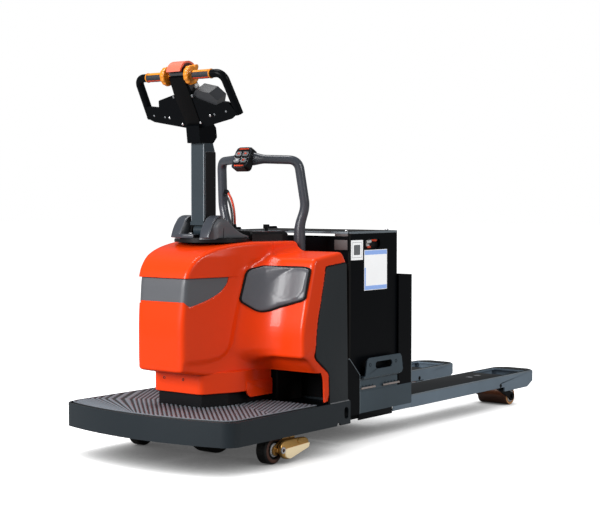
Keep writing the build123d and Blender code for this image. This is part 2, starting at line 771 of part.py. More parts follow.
save("thumb_wheels", thumb_wheels())
save("safety_cap", safety_cap())
save("horn_button", horn_at(0) * Cylinder(horn_radius, 24))

# ---- lift frame: carriage, forks, battery case ---------------------------------------
carriage_front = battery_front + 62
carriage_bottom = tray_top - 91.0
plate_gap = 9.0


def fork_carriage():
    """Box under the battery that joins the two forks."""
    outer = block(carriage_front, fork_heel, -fork_outer, fork_outer, carriage_bottom, tray_top)
    inner = block(carriage_front + 10, fork_heel - 10, -fork_outer + 10, fork_outer - 10, 0, tray_top - 8)
    beam = outer - inner
    for side in (-1, 1):
        web = side * (fork_y - 123.5)
        beam += block(carriage_front, fork_heel, web - 6, web + 6, carriage_bottom, tray_top - 8)
    return beam


save("fork_carriage", fork_carriage())
base_half = fork_outer - 42.5
save("carriage_base", block(battery_front + 8, battery_rear - 54, -base_half, base_half,
                            carriage_bottom - 30, carriage_bottom))

tip_x = overall_length
step_x = tip_x - 326
pivot_x = tip_x - 364
roller_x = pivot_x + math.sqrt(roller_arm ** 2 - (roller_pivot_z - roller_radius) ** 2)
fork_bottom = fork_top - fork_side_height
pivot_pin = 10.0


def fork(side):
    """Channel fork, open below, with the roller window near its tip."""
    centre = side * fork_y
    half = fork_width / 2
    profile = [(fork_heel, fork_bottom), (step_x, fork_bottom), (step_x, fork_bottom - 21),
               (tip_x - 100, fork_bottom - 21), (tip_x, fork_bottom + 26), (tip_x, fork_top - 8),
               (tip_x - 8, fork_top), (fork_heel, fork_top)]
    body = side_prism(profile, centre - half, centre + half)
    body -= block(fork_heel, tip_x - 84, centre - half + fork_wall, centre + half - fork_wall, 0,
                  fork_top - fork_wall)
    corner = 46
    for sign in (-1, 1):
        edge = centre + sign * half
        bevel = [(tip_x - corner, edge), (tip_x + 1, edge), (tip_x + 1, edge - sign * corner)]
        body -= plan_prism(bevel, 0, fork_top + 100)
    window = roller_width / 2 + 4
    body -= block(tip_x - 300, tip_x - 90, centre - window, centre + window, fork_top - fork_wall - 1, 400)
    return body - rod_y(pivot_x, roller_pivot_z, pivot_pin + pin_gap, centre - half - 1, centre + half + 1)


def arm_plate(y0, y1):
    """One flat link from the pivot to the roller axle."""
    rise = roller_pivot_z - roller_radius
    run = roller_x - pivot_x
    across = 16 / roller_arm
    dx, dz = rise * across, run * across
    web = side_prism([(pivot_x - dx, roller_pivot_z - dz), (roller_x - dx, roller_radius - dz),
                      (roller_x + dx, roller_radius + dz), (pivot_x + dx, roller_pivot_z + dz)], y0, y1)
    return web + rod_y(pivot_x, roller_pivot_z, 16, y0, y1) + rod_y(roller_x, roller_radius, 20, y0, y1)


def roller_link(side):
    """Pair of links with their pivot pin and the roller axle."""
    centre = side * fork_y
    near = roller_width / 2 + 3
    link = arm_plate(centre + near, centre + near + 8) + arm_plate(centre - near - 8, centre - near)
    link += rod_y(pivot_x, roller_pivot_z, pivot_pin, centre - fork_width / 2, centre + fork_width / 2)
    return link + rod_y(roller_x, roller_radius, pivot_pin, centre - near - 14, centre + near + 14)


def load_roller(side):
    """Wide roller under the fork tip."""
    centre = side * fork_y
    half = roller_width / 2
    body = rod_y(roller_x, roller_radius, roller_radius, centre - half, centre + half)
    body = chamfer(body.edges().filter_by(GeomType.CIRCLE), 3)
    return body - rod_y(roller_x, roller_radius, pivot_pin + pin_gap, centre - half, centre + half)


for name, side in (("right", -1), ("left", 1)):
    save("fork_" + name, fork(side))
    save("roller_link_" + name, roller_link(side))
    save("load_roller_" + name, load_roller(side))

case_outer = fork_outer - plate_gap
case_wall = 8.0
case_x0 = battery_front + 3
case_x1 = battery_rear + 3
lid_bottom = battery_top - 3.3
hinge_radius = 4.0
hinge_y = case_outer - 4
hinge_z = battery_top + 3
slot_x, slot_z = battery_front + battery_length / 2 - 2, battery_top - 52


def battery_case():
    """Side, front and rear plates round the battery, with lid hinge and guide shoes."""
    top = lid_bottom - running_gap
    body = block(case_x0, case_x1, -case_outer, -case_outer + case_wall, tray_top, top)
    body += block(case_x0, case_x1, case_outer - case_wall, case_outer, tray_top, top - 12)
    for side in (-1, 1):
        low = min(side * case_outer, side * (case_outer - case_wall))
        body -= slot_y(slot_x, slot_z, 112, 38, low - 1, low + case_wall + 1)
    inside = case_outer - case_wall
    body += block(case_x0, case_x0 + 6, -inside, inside, tray_top, battery_top - 24)
    body += block(case_x1 - 6, case_x1, -inside, inside, tray_top, battery_top - 30)
    body += block(case_x0 + 6, case_x1 - 6, -inside, inside, tray_top, tray_top + 8)
    for side in (-1, 1):
        body += block(battery_front - 6 + running_gap, case_x0, side * rail_y - 16, side * rail_y + 16,
                      tray_top + 89, tray_top + 429)
        inner = min(side * case_outer, side * rail_y)
        body += block(case_x0 - 5, case_x0, inner, inner + case_outer - rail_y,
                      battery_top - 80, battery_top - 18)
    for start in (case_x0 + 30, case_x1 - 70):
        body += block(start, start + 40, case_outer - case_wall, case_outer, top - 12, hinge_z - 2)
        body += rod_x(hinge_y, hinge_z, hinge_radius * 2, start, start + 40)
        body += rod_x(hinge_y, hinge_z, hinge_radius, start - 20, start + 60)
    return body


def battery_lid():
    """Thin folded lid with two hinge barrels on its left edge."""
    lid = block(case_x0, case_x1, -case_outer, case_outer - 14, lid_bottom, battery_top)
    fold = case_wall - case_outer + 1
    lid += block(case_x0 + 1, case_x1 - 1, fold, fold + 3, lid_bottom - 10, lid_bottom)
    for start in (case_x0 + 30, case_x1 - 70):
        for low, high in ((start - 20, start - 0.5), (start + 40.5, start + 60)):
            barrel = rod_x(hinge_y, hinge_z, hinge_radius * 2, low, high)
            barrel += block(low, high, hinge_y - 14, hinge_y, lid_bottom, battery_top + 2)
            barrel -= rod_x(hinge_y, hinge_z, hinge_radius + pin_gap, low, high)
            lid += barrel
    return lid


save("battery_case", battery_case())
save("battery_lid", battery_lid())
cell_half = case_outer - case_wall - 6
battery_x0, battery_x1 = case_x0 + 12, case_x1 - 12
battery = block(battery_x0, battery_x1, -cell_half, cell_half, tray_top + 8,
                battery_top - 38)
save("battery", battery)


back_height = 476.0


def load_back():
    """Load backrest plate behind the battery with its two side flanges."""
    top = tray_top + back_height
    rest = block(fork_heel - 12, fork_heel, -fork_outer, fork_outer, tray_top, top)
    for side in (-1, 1):
        low = min(side * fork_outer, side * (fork_outer - 8))
        rest += block(case_x1 + 1, fork_heel - 12, low, low + 8, tray_top, top)
    return rest


save("load_back", load_back())

# ---- lift-out battery retainers --------------------------------------------------------
retainer_front = carriage_front + 6
retainer_rear = battery_rear - 4
retainer_y0 = case_outer + running_gap
retainer_y1 = fork_outer
flap_out = 22.0
bend_z = tray_top + 64.0
flap_top = bend_z + 76.0


def retainer():
    """Plate on the left that stands in front of the battery case, with a hand slot."""
    low = block(retainer_front, retainer_rear, retainer_y0, retainer_y1, tray_top + running_gap, bend_z)
    shoulder = block(retainer_front, retainer_rear, retainer_y0, retainer_y1 + flap_out, bend_z - 7, bend_z)
    first, last = retainer_front + 9, retainer_rear + 11
    flap = side_prism([(first, bend_z - 7), (first + 6, bend_z + 8), (first + 16, flap_top - 13),
                       (first + 32, flap_top), (last - 22, flap_top), (last - 10, flap_top - 13),
                       (last, bend_z + 8), (retainer_rear, bend_z - 7)],
                      retainer_y1 + flap_out - 7, retainer_y1 + flap_out)
    hand = slot_y((retainer_front + retainer_rear) / 2 + 8, flap_top - 35, 124, 30,
                  retainer_y0, retainer_y1 + flap_out + 1)
    return low + shoulder + flap - hand


right_retainer = other_side(retainer())
save("retainer_right", right_retainer)
save("retainer_left", retainer())

# ---- stabilising casters ----------------------------------------------------------------
cheek_gap = 4.0


def capsule(x0, z0, r0, x1, z1, r1, y0, y1):
    """Round-ended link between two points in the x-z plane."""
    length = math.hypot(x1 - x0, z1 - z0)
    nx, nz = -(z1 - z0) / length, (x1 - x0) / length
    web = side_prism([(x0 + nx * r0, z0 + nz * r0), (x1 + nx * r1, z1 + nz * r1),
                      (x1 - nx * r1, z1 - nz * r1), (x0 - nx * r0, z0 - nz * r0)], y0, y1)
    return web + rod_y(x0, z0, r0, y0, y1) + rod_y(x1, z1, r1, y0, y1)


def caster_arm():
    """Trailing fork on the left with its pivot pin and wheel axle."""
    half = caster_width / 2 + cheek_gap
    arm = rod_y(caster_pivot_x, caster_pivot_z, caster_pin, caster_y - half - 10, caster_y + half + 10)
    arm += rod_y(caster_x, caster_radius, caster_pin, caster_y - half - 10, caster_y + half + 10)
    for side in (-1, 1):
        low = min(caster_y + side * half, caster_y + side * (half + 6))
        arm += capsule(caster_x, caster_radius, 20, caster_pivot_x, caster_pivot_z, 17, low, low + 6)
    web_x = caster_pivot_x + 20
    arm += block(web_x, web_x + 7, caster_y - half - 6, caster_y + half + 6, 88, 112)
    for side in (-1, 1):
        low = min(caster_y + side * half, caster_y + side * (half + 6))
        arm += block(caster_pivot_x, web_x + 7, low, low + 6, 88, 112)
    return arm


def caster_wheel():
    """Solid-tyred wheel on the left."""
    half = caster_width / 2
    wheel = rod_y(caster_x, caster_radius, caster_radius, caster_y - half, caster_y + half)
    wheel = chamfer(wheel.edges().filter_by(GeomType.CIRCLE), 5)
    wheel -= rod_y(caster_x, caster_radius, 34, caster_y + half - 6, caster_y + half)
    wheel += rod_y(caster_x, caster_radius, 16, caster_y - half, caster_y + half)
    return wheel - rod_y(caster_x, caster_radius, caster_pin + pin_gap, caster_y - half, caster_y + half)


left_arm = caster_arm()
left_wheel = caster_wheel()
save("caster_arm_left", left_arm)
save("caster_arm_right", other_side(left_arm))
save("caster_wheel_left", left_wheel)
save("caster_wheel_right", other_side(left_wheel))
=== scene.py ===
import json
import math

import bmesh
import bpy
import numpy as np
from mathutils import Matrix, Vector

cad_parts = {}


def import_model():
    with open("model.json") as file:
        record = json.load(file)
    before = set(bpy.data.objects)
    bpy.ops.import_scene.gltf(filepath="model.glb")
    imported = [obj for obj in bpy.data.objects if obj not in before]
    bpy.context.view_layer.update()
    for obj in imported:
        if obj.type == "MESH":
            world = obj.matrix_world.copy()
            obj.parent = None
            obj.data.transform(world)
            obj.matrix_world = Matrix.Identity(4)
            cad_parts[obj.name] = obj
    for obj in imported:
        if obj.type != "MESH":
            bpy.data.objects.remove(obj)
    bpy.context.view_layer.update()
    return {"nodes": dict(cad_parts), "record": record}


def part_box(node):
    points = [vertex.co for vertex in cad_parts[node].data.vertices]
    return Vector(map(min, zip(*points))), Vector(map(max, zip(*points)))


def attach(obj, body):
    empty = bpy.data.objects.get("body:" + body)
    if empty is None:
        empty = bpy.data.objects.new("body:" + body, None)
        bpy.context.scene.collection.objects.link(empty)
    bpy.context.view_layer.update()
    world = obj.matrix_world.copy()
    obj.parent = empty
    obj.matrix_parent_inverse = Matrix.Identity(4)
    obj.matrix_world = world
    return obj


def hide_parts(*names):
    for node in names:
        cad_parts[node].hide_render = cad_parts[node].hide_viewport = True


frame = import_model()
nodes = frame["nodes"]
scene = bpy.context.scene

# ---- places, in millimetres behind the front edge of the platform ------------------
MM = 0.001
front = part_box("platform_skirt")[0].x
half_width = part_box("platform_skirt")[1].y / MM


def behind(node, corner, axis):
    """One coordinate of a node's box, in the millimetres used here: corner 0 is its low one, 1 its high."""
    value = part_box(node)[corner][axis]
    return (value - front) / MM if axis == 0 else value / MM


def place(points):
    """Millimetres behind the front edge, across and up, as metres in the frame."""
    return np.asarray(points, float) * MM + np.array([front, 0.0, 0.0])


def middle_of(node, axis):
    """Middle of a node's box along one axis, in the same millimetres."""
    return (behind(node, 0, axis) + behind(node, 1, axis)) / 2


mat_top = behind("platform_mat", 1, 2)
console_top = behind("console", 1, 2)
grip_x, grip_z = middle_of("grip_right", 0), middle_of("grip_right", 2)
steer_x = middle_of("tiller_base", 0)
case_front, case_side = behind("battery_lid", 0, 0), -behind("battery_case", 0, 1)
fork_in, fork_out, tip_x = behind("fork_left", 0, 1), behind("fork_left", 1, 1), behind("fork_left", 1, 0)
deck_z = behind("fork_left", 1, 2) - 0.4  # trim on the forks starts just under their top
axis_x = 690.0  # upright axis that the hood's surface is drawn round


# ---- camera ------------------------------------------------------------------------
def camera():
    """Eye level with the top of the tiller column, looking along the truck at 38 degrees."""
    data = bpy.data.cameras.new("camera")
    data.lens, data.sensor_width = 83.875, 36
    data.clip_start, data.clip_end = 0.05, 200
    eye = bpy.data.objects.new("camera", data)
    turn, dip = math.radians(37.838), math.radians(-2.524)
    look = Vector((math.cos(turn) * math.cos(dip), math.sin(turn) * math.cos(dip), math.sin(dip)))
    eye.location = place((-3738.7, -3705.8, 1026.4))
    eye.rotation_euler = look.to_track_quat("-Z", "Y").to_euler()
    scene.collection.objects.link(eye)
    scene.camera = eye


camera()


# ---- materials -----------------------------------------------------------------------
def group_of(name, inputs, outputs):
    """Empty shader group with its sockets; returns the group, its input and output nodes."""
    tree = bpy.data.node_groups.new(name, "ShaderNodeTree")
    for label, kind, value in inputs:
        made = tree.interface.new_socket(label, in_out="INPUT", socket_type=kind)
        made.default_value = value
    for label, kind in outputs:
        tree.interface.new_socket(label, in_out="OUTPUT", socket_type=kind)
    return tree, tree.nodes.new("NodeGroupInput"), tree.nodes.new("NodeGroupOutput")


def add(tree, kind, settings=None, **values):
    """Node with its settings, unlinked values by input name, and linked sockets."""
    node = tree.nodes.new(kind)
    for key, value in (settings or {}).items():
        setattr(node, key, value)
    for key, value in values.items():
        target = node.inputs[int(key[1:])] if key[0] == "i" and key[1:].isdigit() else node.inputs[key]
        if isinstance(value, bpy.types.NodeSocket):
            tree.links.new(value, target)
        else:
            target.default_value = value
    return node


def surface_group():
    """Paint or moulded skin: broad tone shift, fine grain in tone, roughness and height."""
    tree, given, out = group_of(
        "skin",
        [("Base", "NodeSocketColor", (0.5, 0.5, 0.5, 1)), ("Worn", "NodeSocketColor", (0.6, 0.6, 0.6, 1)),
         ("Rough", "NodeSocketFloat", 0.4), ("Spread", "NodeSocketFloat", 0.1),
         ("Scale", "NodeSocketFloat", 400.0), ("Mottle", "NodeSocketFloat", 0.1),
         ("Scuff", "NodeSocketFloat", 0.1)],
        [("Color", "NodeSocketColor"), ("Roughness", "NodeSocketFloat"), ("Height", "NodeSocketFloat")])
    where = add(tree, "ShaderNodeTexCoord").outputs["Object"]
    fine = add(tree, "ShaderNodeTexNoise", Vector=where, Scale=given.outputs["Scale"], Detail=3.0)
    broad = add(tree, "ShaderNodeTexNoise", Vector=where, Scale=5.0, Detail=4.0)
    stretched = add(tree, "ShaderNodeMapping", Vector=where, Scale=(30.0, 30.0, 6.0))
    streak = add(tree, "ShaderNodeTexNoise", Vector=stretched.outputs[0], Scale=1.6, Detail=6.0,
                 Roughness=0.75)
    scuffed = add(tree, "ShaderNodeMapRange", Value=streak.outputs["Fac"])
    scuffed.inputs["From Min"].default_value = 0.60
    scuffed.inputs["From Max"].default_value = 0.78
    mask = add(tree, "ShaderNodeMath", {"operation": "MULTIPLY"}, i0=scuffed.outputs[0],
               i1=given.outputs["Scuff"])
    tone = add(tree, "ShaderNodeMath", {"operation": "SUBTRACT"}, i0=broad.outputs["Fac"], i1=0.5)
    shift = add(tree, "ShaderNodeMath", {"operation": "MULTIPLY_ADD"}, i0=tone.outputs[0],
                i1=given.outputs["Mottle"], i2=1.0)
    toned = add(tree, "ShaderNodeVectorMath", {"operation": "SCALE"}, i0=given.outputs["Base"])
    tree.links.new(shift.outputs[0], toned.inputs["Scale"])
    mixed = add(tree, "ShaderNodeMix", {"data_type": "RGBA"}, i0=mask.outputs[0], i6=toned.outputs[0],
                i7=given.outputs["Worn"])
    grain = add(tree, "ShaderNodeMath", {"operation": "SUBTRACT"}, i0=fine.outputs["Fac"], i1=0.5)
    lift = add(tree, "ShaderNodeMath", {"operation": "MULTIPLY_ADD"}, i0=grain.outputs[0],
               i1=given.outputs["Spread"], i2=given.outputs["Rough"])
    rough = add(tree, "ShaderNodeMath", {"operation": "MULTIPLY_ADD"}, i0=mask.outputs[0], i1=0.35,
                i2=lift.outputs[0])
    tree.links.new(mixed.outputs[2], out.inputs["Color"])
    tree.links.new(rough.outputs[0], out.inputs["Roughness"])
    tree.links.new(fine.outputs["Fac"], out.inputs["Height"])
    return tree


def band_group():
    """Fine lines across one axis of the piece, as a mask from 0 to 1."""
    tree, given, out = group_of(
        "lines", [("Axis", "NodeSocketVector", (1.0, 0.0, 0.0)), ("Pitch", "NodeSocketFloat", 0.004)],
        [("Mask", "NodeSocketFloat")])
    where = add(tree, "ShaderNodeTexCoord").outputs["Object"]
    along = add(tree, "ShaderNodeVectorMath", {"operation": "DOT_PRODUCT"}, i0=where,
                i1=given.outputs["Axis"])
    turns = add(tree, "ShaderNodeMath", {"operation": "DIVIDE"}, i0=along.outputs["Value"],
                i1=given.outputs["Pitch"])
    angle = add(tree, "ShaderNodeMath", {"operation": "MULTIPLY"}, i0=turns.outputs[0], i1=2 * math.pi)
    wave = add(tree, "ShaderNodeMath", {"operation": "SINE"}, i0=angle.outputs[0])
    mask = add(tree, "ShaderNodeMapRange", Value=wave.outputs[0])
    mask.inputs["From Min"].default_value = -0.5
    mask.inputs["From Max"].default_value = 0.5
    tree.links.new(mask.outputs[0], out.inputs["Mask"])
    return tree


SKIN = surface_group()
LINES = band_group()


def rgba(color):
    """Colour with full opacity."""
    return (*color, 1.0)


def finish_of(name, color, rough, metal=0.0, coat=0.0, scale=500.0, spread=0.1, mottle=0.15, scuff=0.0,
              worn=None, depth=0.02, sheen=0.0, coat_rough=0.08, specular=0.5, glow=0.0):
    """Material on the skin group; returns the material, its Principled node and group node."""
    material = bpy.data.materials.new(name)
    material.use_nodes = True
    tree = material.node_tree
    shader = tree.nodes["Principled BSDF"]
    skin = tree.nodes.new("ShaderNodeGroup")
    skin.node_tree = SKIN
    values = {"Base": rgba(color), "Worn": rgba(worn or color), "Rough": rough, "Spread": spread,
              "Scale": scale, "Mottle": mottle, "Scuff": scuff}
    for key, value in values.items():
        skin.inputs[key].default_value = value
    tree.links.new(skin.outputs["Color"], shader.inputs["Base Color"])
    tree.links.new(skin.outputs["Roughness"], shader.inputs["Roughness"])
    bump = add(tree, "ShaderNodeBump", Height=skin.outputs["Height"], Strength=0.5, Distance=depth * MM)
    tree.links.new(bump.outputs[0], shader.inputs["Normal"])
    shader.inputs["Metallic"].default_value = metal
    shader.inputs["Coat Weight"].default_value = coat
    shader.inputs["Coat Roughness"].default_value = coat_rough
    shader.inputs["Specular IOR Level"].default_value = specular
    if sheen:
        shader.inputs["Sheen Weight"].default_value = sheen
    # glow is painted light: the part gives off its own colour though it is no lamp
    if glow:
        shader.inputs["Emission Color"].default_value = rgba(color)
        shader.inputs["Emission Strength"].default_value = glow
    return material


def lined(material, axis, pitch, dark=0.4, deep=0.3):
    """Adds fine raised lines to a material: painted shade makes it darker between them, and it is lower
    there.
    """
    tree = material.node_tree
    shader, bump = tree.nodes["Principled BSDF"], tree.nodes["Bump"]
    skin = tree.nodes["Group"]
    lines = tree.nodes.new("ShaderNodeGroup")
    lines.node_tree = LINES
    lines.inputs["Axis"].default_value = axis
    lines.inputs["Pitch"].default_value = pitch * MM
    # painted shade: the colour darkens between the lines
    shade = add(tree, "ShaderNodeMapRange", Value=lines.outputs["Mask"])
    shade.inputs["To Min"].default_value = dark
    toned = add(tree, "ShaderNodeVectorMath", {"operation": "SCALE"}, i0=skin.outputs["Color"])
    tree.links.new(shade.outputs[0], toned.inputs["Scale"])
    tree.links.new(toned.outputs[0], shader.inputs["Base Color"])
    tall = add(tree, "ShaderNodeMath", {"operation": "MULTIPLY_ADD"}, i0=lines.outputs["Mask"], i1=deep * 20,
               i2=skin.outputs["Height"])
    tree.links.new(tall.outputs[0], bump.inputs["Height"])
    bump.inputs["Strength"].default_value = 0.8
    return material


# paints
ANTHRACITE = finish_of("anthracite_paint", (0.014, 0.021, 0.027), 0.42, coat=0.05, specular=0.3, scale=900,
                       depth=0.05, scuff=0.10, worn=(0.08, 0.09, 0.10), coat_rough=0.2)
SLATE = finish_of("slate_paint", (0.026, 0.040, 0.051), 0.4, coat=0.05, specular=0.35, scale=900, depth=0.06,
                  mottle=0.35, scuff=0.22, worn=(0.09, 0.12, 0.14), coat_rough=0.2)
SLATE_PALE = finish_of("slate_paint_pale", (0.050, 0.078, 0.100), 0.36, coat=0.1, specular=0.45, scale=900,
                       depth=0.06, mottle=0.55, scuff=0.3, worn=(0.13, 0.17, 0.20), coat_rough=0.2)
# the forks' slate is a lighter copy of the slate paint: painted light on their lit sides
FORK_SLATE_PAINTED_LIGHT = finish_of("fork_slate_painted_light", (0.190, 0.255, 0.320), 0.36, coat=0.1, specular=0.45, scale=900,
                       depth=0.06, mottle=0.55, scuff=0.25, worn=(0.20, 0.25, 0.29), coat_rough=0.2)
# sheets on the fork tops: painted shade, darker than the forks' slate, with scuffs of wear
FORK_TOP_SHADE = finish_of("fork_top", (0.006, 0.0085, 0.011), 0.45, specular=0.2, scale=700, depth=0.08,
                     mottle=0.6, scuff=0.4, worn=(0.05, 0.065, 0.08))
BLACK_STEEL = finish_of("black_steel", (0.0020, 0.0027, 0.0038), 0.34, specular=0.07, scale=900, depth=0.05,
                        scuff=0.06, worn=(0.03, 0.03, 0.035))
PLATE_BLACK = finish_of("plate_black", (0.0030, 0.0030, 0.0034), 0.42, scale=700, depth=0.05, specular=0.08)
SIDE_PANEL = finish_of("panel_slate", (0.016, 0.021, 0.025), 0.46, scale=1400, depth=0.08, specular=0.35)
ORANGE = finish_of("orange_gloss", (0.97, 0.056, 0.003), 0.32, coat=0.2, specular=0.2, scale=700, depth=0.012,
                   spread=0.06, mottle=0.05, coat_rough=0.1)
# pale steel for strips along edges and a crease: painted highlight
PAINTED_EDGE_HIGHLIGHT = finish_of("painted_edge_highlight", (0.20, 0.24, 0.27), 0.35, scale=700, mottle=0.5, specular=0.5)
# pale strips on the column's front corners: painted highlight
PAINTED_COLUMN_HIGHLIGHT = finish_of("painted_column_highlight", (0.30, 0.34, 0.37), 0.35, scale=700)

# plastics, rubber, foam and labels
GREY_PLASTIC = finish_of("grey_plastic", (0.105, 0.110, 0.122), 0.42, scale=1500, depth=0.08)
PALE_GREY = finish_of("pale_grey_plastic", (0.22, 0.23, 0.245), 0.4, scale=1500, depth=0.05)
BLACK_PLASTIC = finish_of("black_plastic", (0.007, 0.007, 0.008), 0.36, scale=1500, depth=0.08, specular=0.2)
GLOSS_BLACK = finish_of("gloss_black", (0.007, 0.007, 0.008), 0.2, coat=0.6, scale=600, depth=0.01)
HOUSING_DARK = finish_of("housing_dark", (0.030, 0.032, 0.037), 0.32, scale=1400, depth=0.06)
FRAME_GREY = finish_of("frame_grey", (0.13, 0.14, 0.155), 0.35, scale=800)
# black for the pins, seams and pad beads; painted shade on the hood's foot, round the side panels, at the
# case's front corners and in the flap eyelets
BLACK_AND_PAINTED_SHADE = finish_of("black_and_painted_shade", (0.003, 0.003, 0.003), 0.7, scale=400, depth=0.05, specular=0.2)
BAR_GREY = finish_of("bar_coating", (0.052, 0.060, 0.075), 0.30, coat=0.2, scale=1300, depth=0.06,
                     coat_rough=0.2)
PAD_SKIN = finish_of("pad_skin", (0.105, 0.108, 0.122), 0.34, scale=1100, depth=0.08, sheen=0.1)
RUBBER = finish_of("black_rubber", (0.012, 0.012, 0.012), 0.62, scale=500, depth=0.2, mottle=0.5,
                   scuff=0.3, worn=(0.05, 0.045, 0.04))
AMBER = finish_of("amber_urethane", (0.17, 0.055, 0.022), 0.34, coat=0.3, scale=60, depth=0.05, mottle=0.9,
                  scuff=0.35, worn=(0.35, 0.14, 0.05))
BROWN_RIM = finish_of("brown_rim", (0.09, 0.035, 0.022), 0.4, scale=120, depth=0.1, mottle=1.0)
ORANGE_RIM = finish_of("roller_rim", (0.75, 0.36, 0.13), 0.3, coat=0.4, scale=200, depth=0.03, mottle=0.8)
RING_WHITE = finish_of("ring_white", (0.62, 0.62, 0.64), 0.35, scale=300, depth=0.03, mottle=0.5)
# the cream plates glow at 0.35: painted light
CREAM_PAINTED_LIGHT = finish_of("cream_plate_painted_light", (0.85, 0.70, 0.45), 0.42, scale=500, depth=0.05, mottle=0.4, glow=0.35)
YELLOW = finish_of("yellow_plastic", (0.86, 0.29, 0.012), 0.35, coat=0.3, scale=900, depth=0.03)
RED_CAP = finish_of("salmon_plastic", (0.86, 0.17, 0.10), 0.45, scale=1400, depth=0.1)
RED_STRIP = finish_of("orange_strip", (0.80, 0.065, 0.015), 0.4, scale=1400, depth=0.05)
GRIP_SKIN = lined(finish_of("grip_rubber", (0.030, 0.034, 0.042), 0.55, scale=900, depth=0.2),
                  (0, 1, 0), 5.0, 0.6)
WHITE_MARK = finish_of("white_mark", (0.75, 0.75, 0.75), 0.4, scale=900, depth=0.01)
# the labels glow at 0.5: painted light that keeps them bright under the weak side lamp
LABEL_WHITE_PAINTED_LIGHT = finish_of("label_white_painted_light", (0.86, 0.87, 0.88), 0.45, scale=900, depth=0.01, glow=0.5)
LABEL_BLUE_PAINTED_LIGHT = finish_of("label_blue_painted_light", (0.26, 0.40, 0.76), 0.45, scale=900, depth=0.01, glow=0.5)
CABLE_BLACK = finish_of("cable_black", (0.012, 0.012, 0.012), 0.5, scale=900, depth=0.05)
CABLE_RED = finish_of("cable_red", (0.70, 0.06, 0.02), 0.4, scale=900, depth=0.05)

# bare and plated metal
BOLT_STEEL = finish_of("bolt_steel", (0.55, 0.55, 0.56), 0.3, metal=1.0, scale=800, depth=0.02)
GALVANISED = finish_of("pale_steel", (0.33, 0.35, 0.37), 0.42, metal=0.6, scale=300, depth=0.05, mottle=0.6)
ZINC_GOLD = finish_of("gold_zinc", (0.62, 0.36, 0.11), 0.34, metal=0.75, scale=160, depth=0.08, mottle=1.2,
                      spread=0.3, scuff=0.5, worn=(0.30, 0.14, 0.05))
BAR_TAN = finish_of("bare_bar", (0.42, 0.36, 0.34), 0.45, metal=0.2, scale=600, depth=0.05, mottle=0.5)
STRAP = finish_of("strap_steel", (0.070, 0.052, 0.052), 0.5, scale=500, mottle=0.8, depth=0.06)
WELD = finish_of("weld_bead", (0.22, 0.23, 0.24), 0.5, scale=300, depth=0.1, mottle=1.0)


def ribbed_mat():
    """Mat rubber: pale on the tops of the ribs and of the rim; painted shade makes it dark between them and
    down its sides.
    """
    material = finish_of("mat_rubber", (0.2, 0.2, 0.22), 0.55, scale=900, depth=0.1)
    tree = material.node_tree
    place_of = add(tree, "ShaderNodeTexCoord").outputs["Object"]
    height = add(tree, "ShaderNodeSeparateXYZ", Vector=place_of).outputs["Z"]
    share = add(tree, "ShaderNodeMapRange", Value=height)
    share.inputs["From Min"].default_value = (mat_top - 3.0) * MM
    share.inputs["From Max"].default_value = (mat_top - 0.6) * MM
    # painted shade: dark below the tops, in the grooves and down the mat's sides
    mixed = add(tree, "ShaderNodeMix", {"data_type": "RGBA"}, i0=share.outputs[0],
                i6=(0.010, 0.011, 0.012, 1), i7=(0.185, 0.212, 0.245, 1))
    tree.links.new(mixed.outputs[2], tree.nodes["Principled BSDF"].inputs["Base Color"])
    return material


MAT_RUBBER_PAINTED_SHADE = ribbed_mat()


# ---- mesh helpers ----------------------------------------------------------------------
def quads(rows, cols, wrap=False, base=0):
    """Faces of a grid of points, row by row; wrap joins the last column to the first."""
    r, c = np.meshgrid(np.arange(rows - 1), np.arange(cols if wrap else cols - 1), indexing="ij")
    n = (c + 1) % cols
    faces = np.stack([r * cols + c, r * cols + n, (r + 1) * cols + n, (r + 1) * cols + c], -1)
    return (faces.reshape(-1, 4) + base).tolist()


def capped(rows, cols):
    """Faces of a stack of rings, with its first and last ring filled."""
    last = (rows - 1) * cols
    return quads(rows, cols, wrap=True) + [list(range(cols))[::-1], list(range(last, last + cols))]


def looped(rows, cols):
    """Faces of a stack of rings whose last ring joins its first, as on a tube with a wall."""
    last = (rows - 1) * cols
    ahead = [(i + 1) % cols for i in range(cols)]
    return quads(rows, cols, wrap=True) + [[last + i, last + n, n, i] for i, n in enumerate(ahead)]


def backed(rows, cols):
    """Faces of a sheet and of its copy behind it, with the strip round their edges."""
    n = rows * cols
    rim = np.concatenate([np.arange(cols), np.arange(1, rows) * cols + cols - 1,
                          n - cols + np.arange(cols - 2, -1, -1), np.arange(rows - 2, 0, -1) * cols])
    after = np.roll(rim, -1)
    faces = quads(rows, cols) + [face[::-1] for face in quads(rows, cols, base=n)]
    return faces + np.stack([rim, rim + n, after + n, after], 1).tolist()


def linked(mesh):
    """Object that carries a mesh, in the scene."""
    made = bpy.data.objects.new(mesh.name, mesh)
    scene.collection.objects.link(made)
    return made


def piece(name, parts, material, body, replaces=(), sharp=32):
    """One object from (points in millimetres, faces) parts, welded, with outward faces."""
    points, faces, base = [], [], 0
    for local, local_faces in parts:
        local = np.asarray(local, float).reshape(-1, 3)
        points.append(local)
        faces += [[i + base for i in face] for face in local_faces]
        base += len(local)
    mesh = bpy.data.meshes.new(name)
    mesh.from_pydata(place(np.concatenate(points)), [], faces)
    work = bmesh.new()
    work.from_mesh(mesh)
    bmesh.ops.remove_doubles(work, verts=work.verts, dist=2e-6)
    bmesh.ops.dissolve_degenerate(work, edges=work.edges, dist=1e-6)
    bmesh.ops.recalc_face_normals(work, faces=work.faces)
    work.to_mesh(mesh)
    work.free()
    mesh.shade_smooth()
    mesh.set_sharp_from_angle(angle=math.radians(sharp))
    mesh.materials.append(material)
    made = linked(mesh)
    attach(made, body)
    if replaces:
        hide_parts(*replaces)
    return made


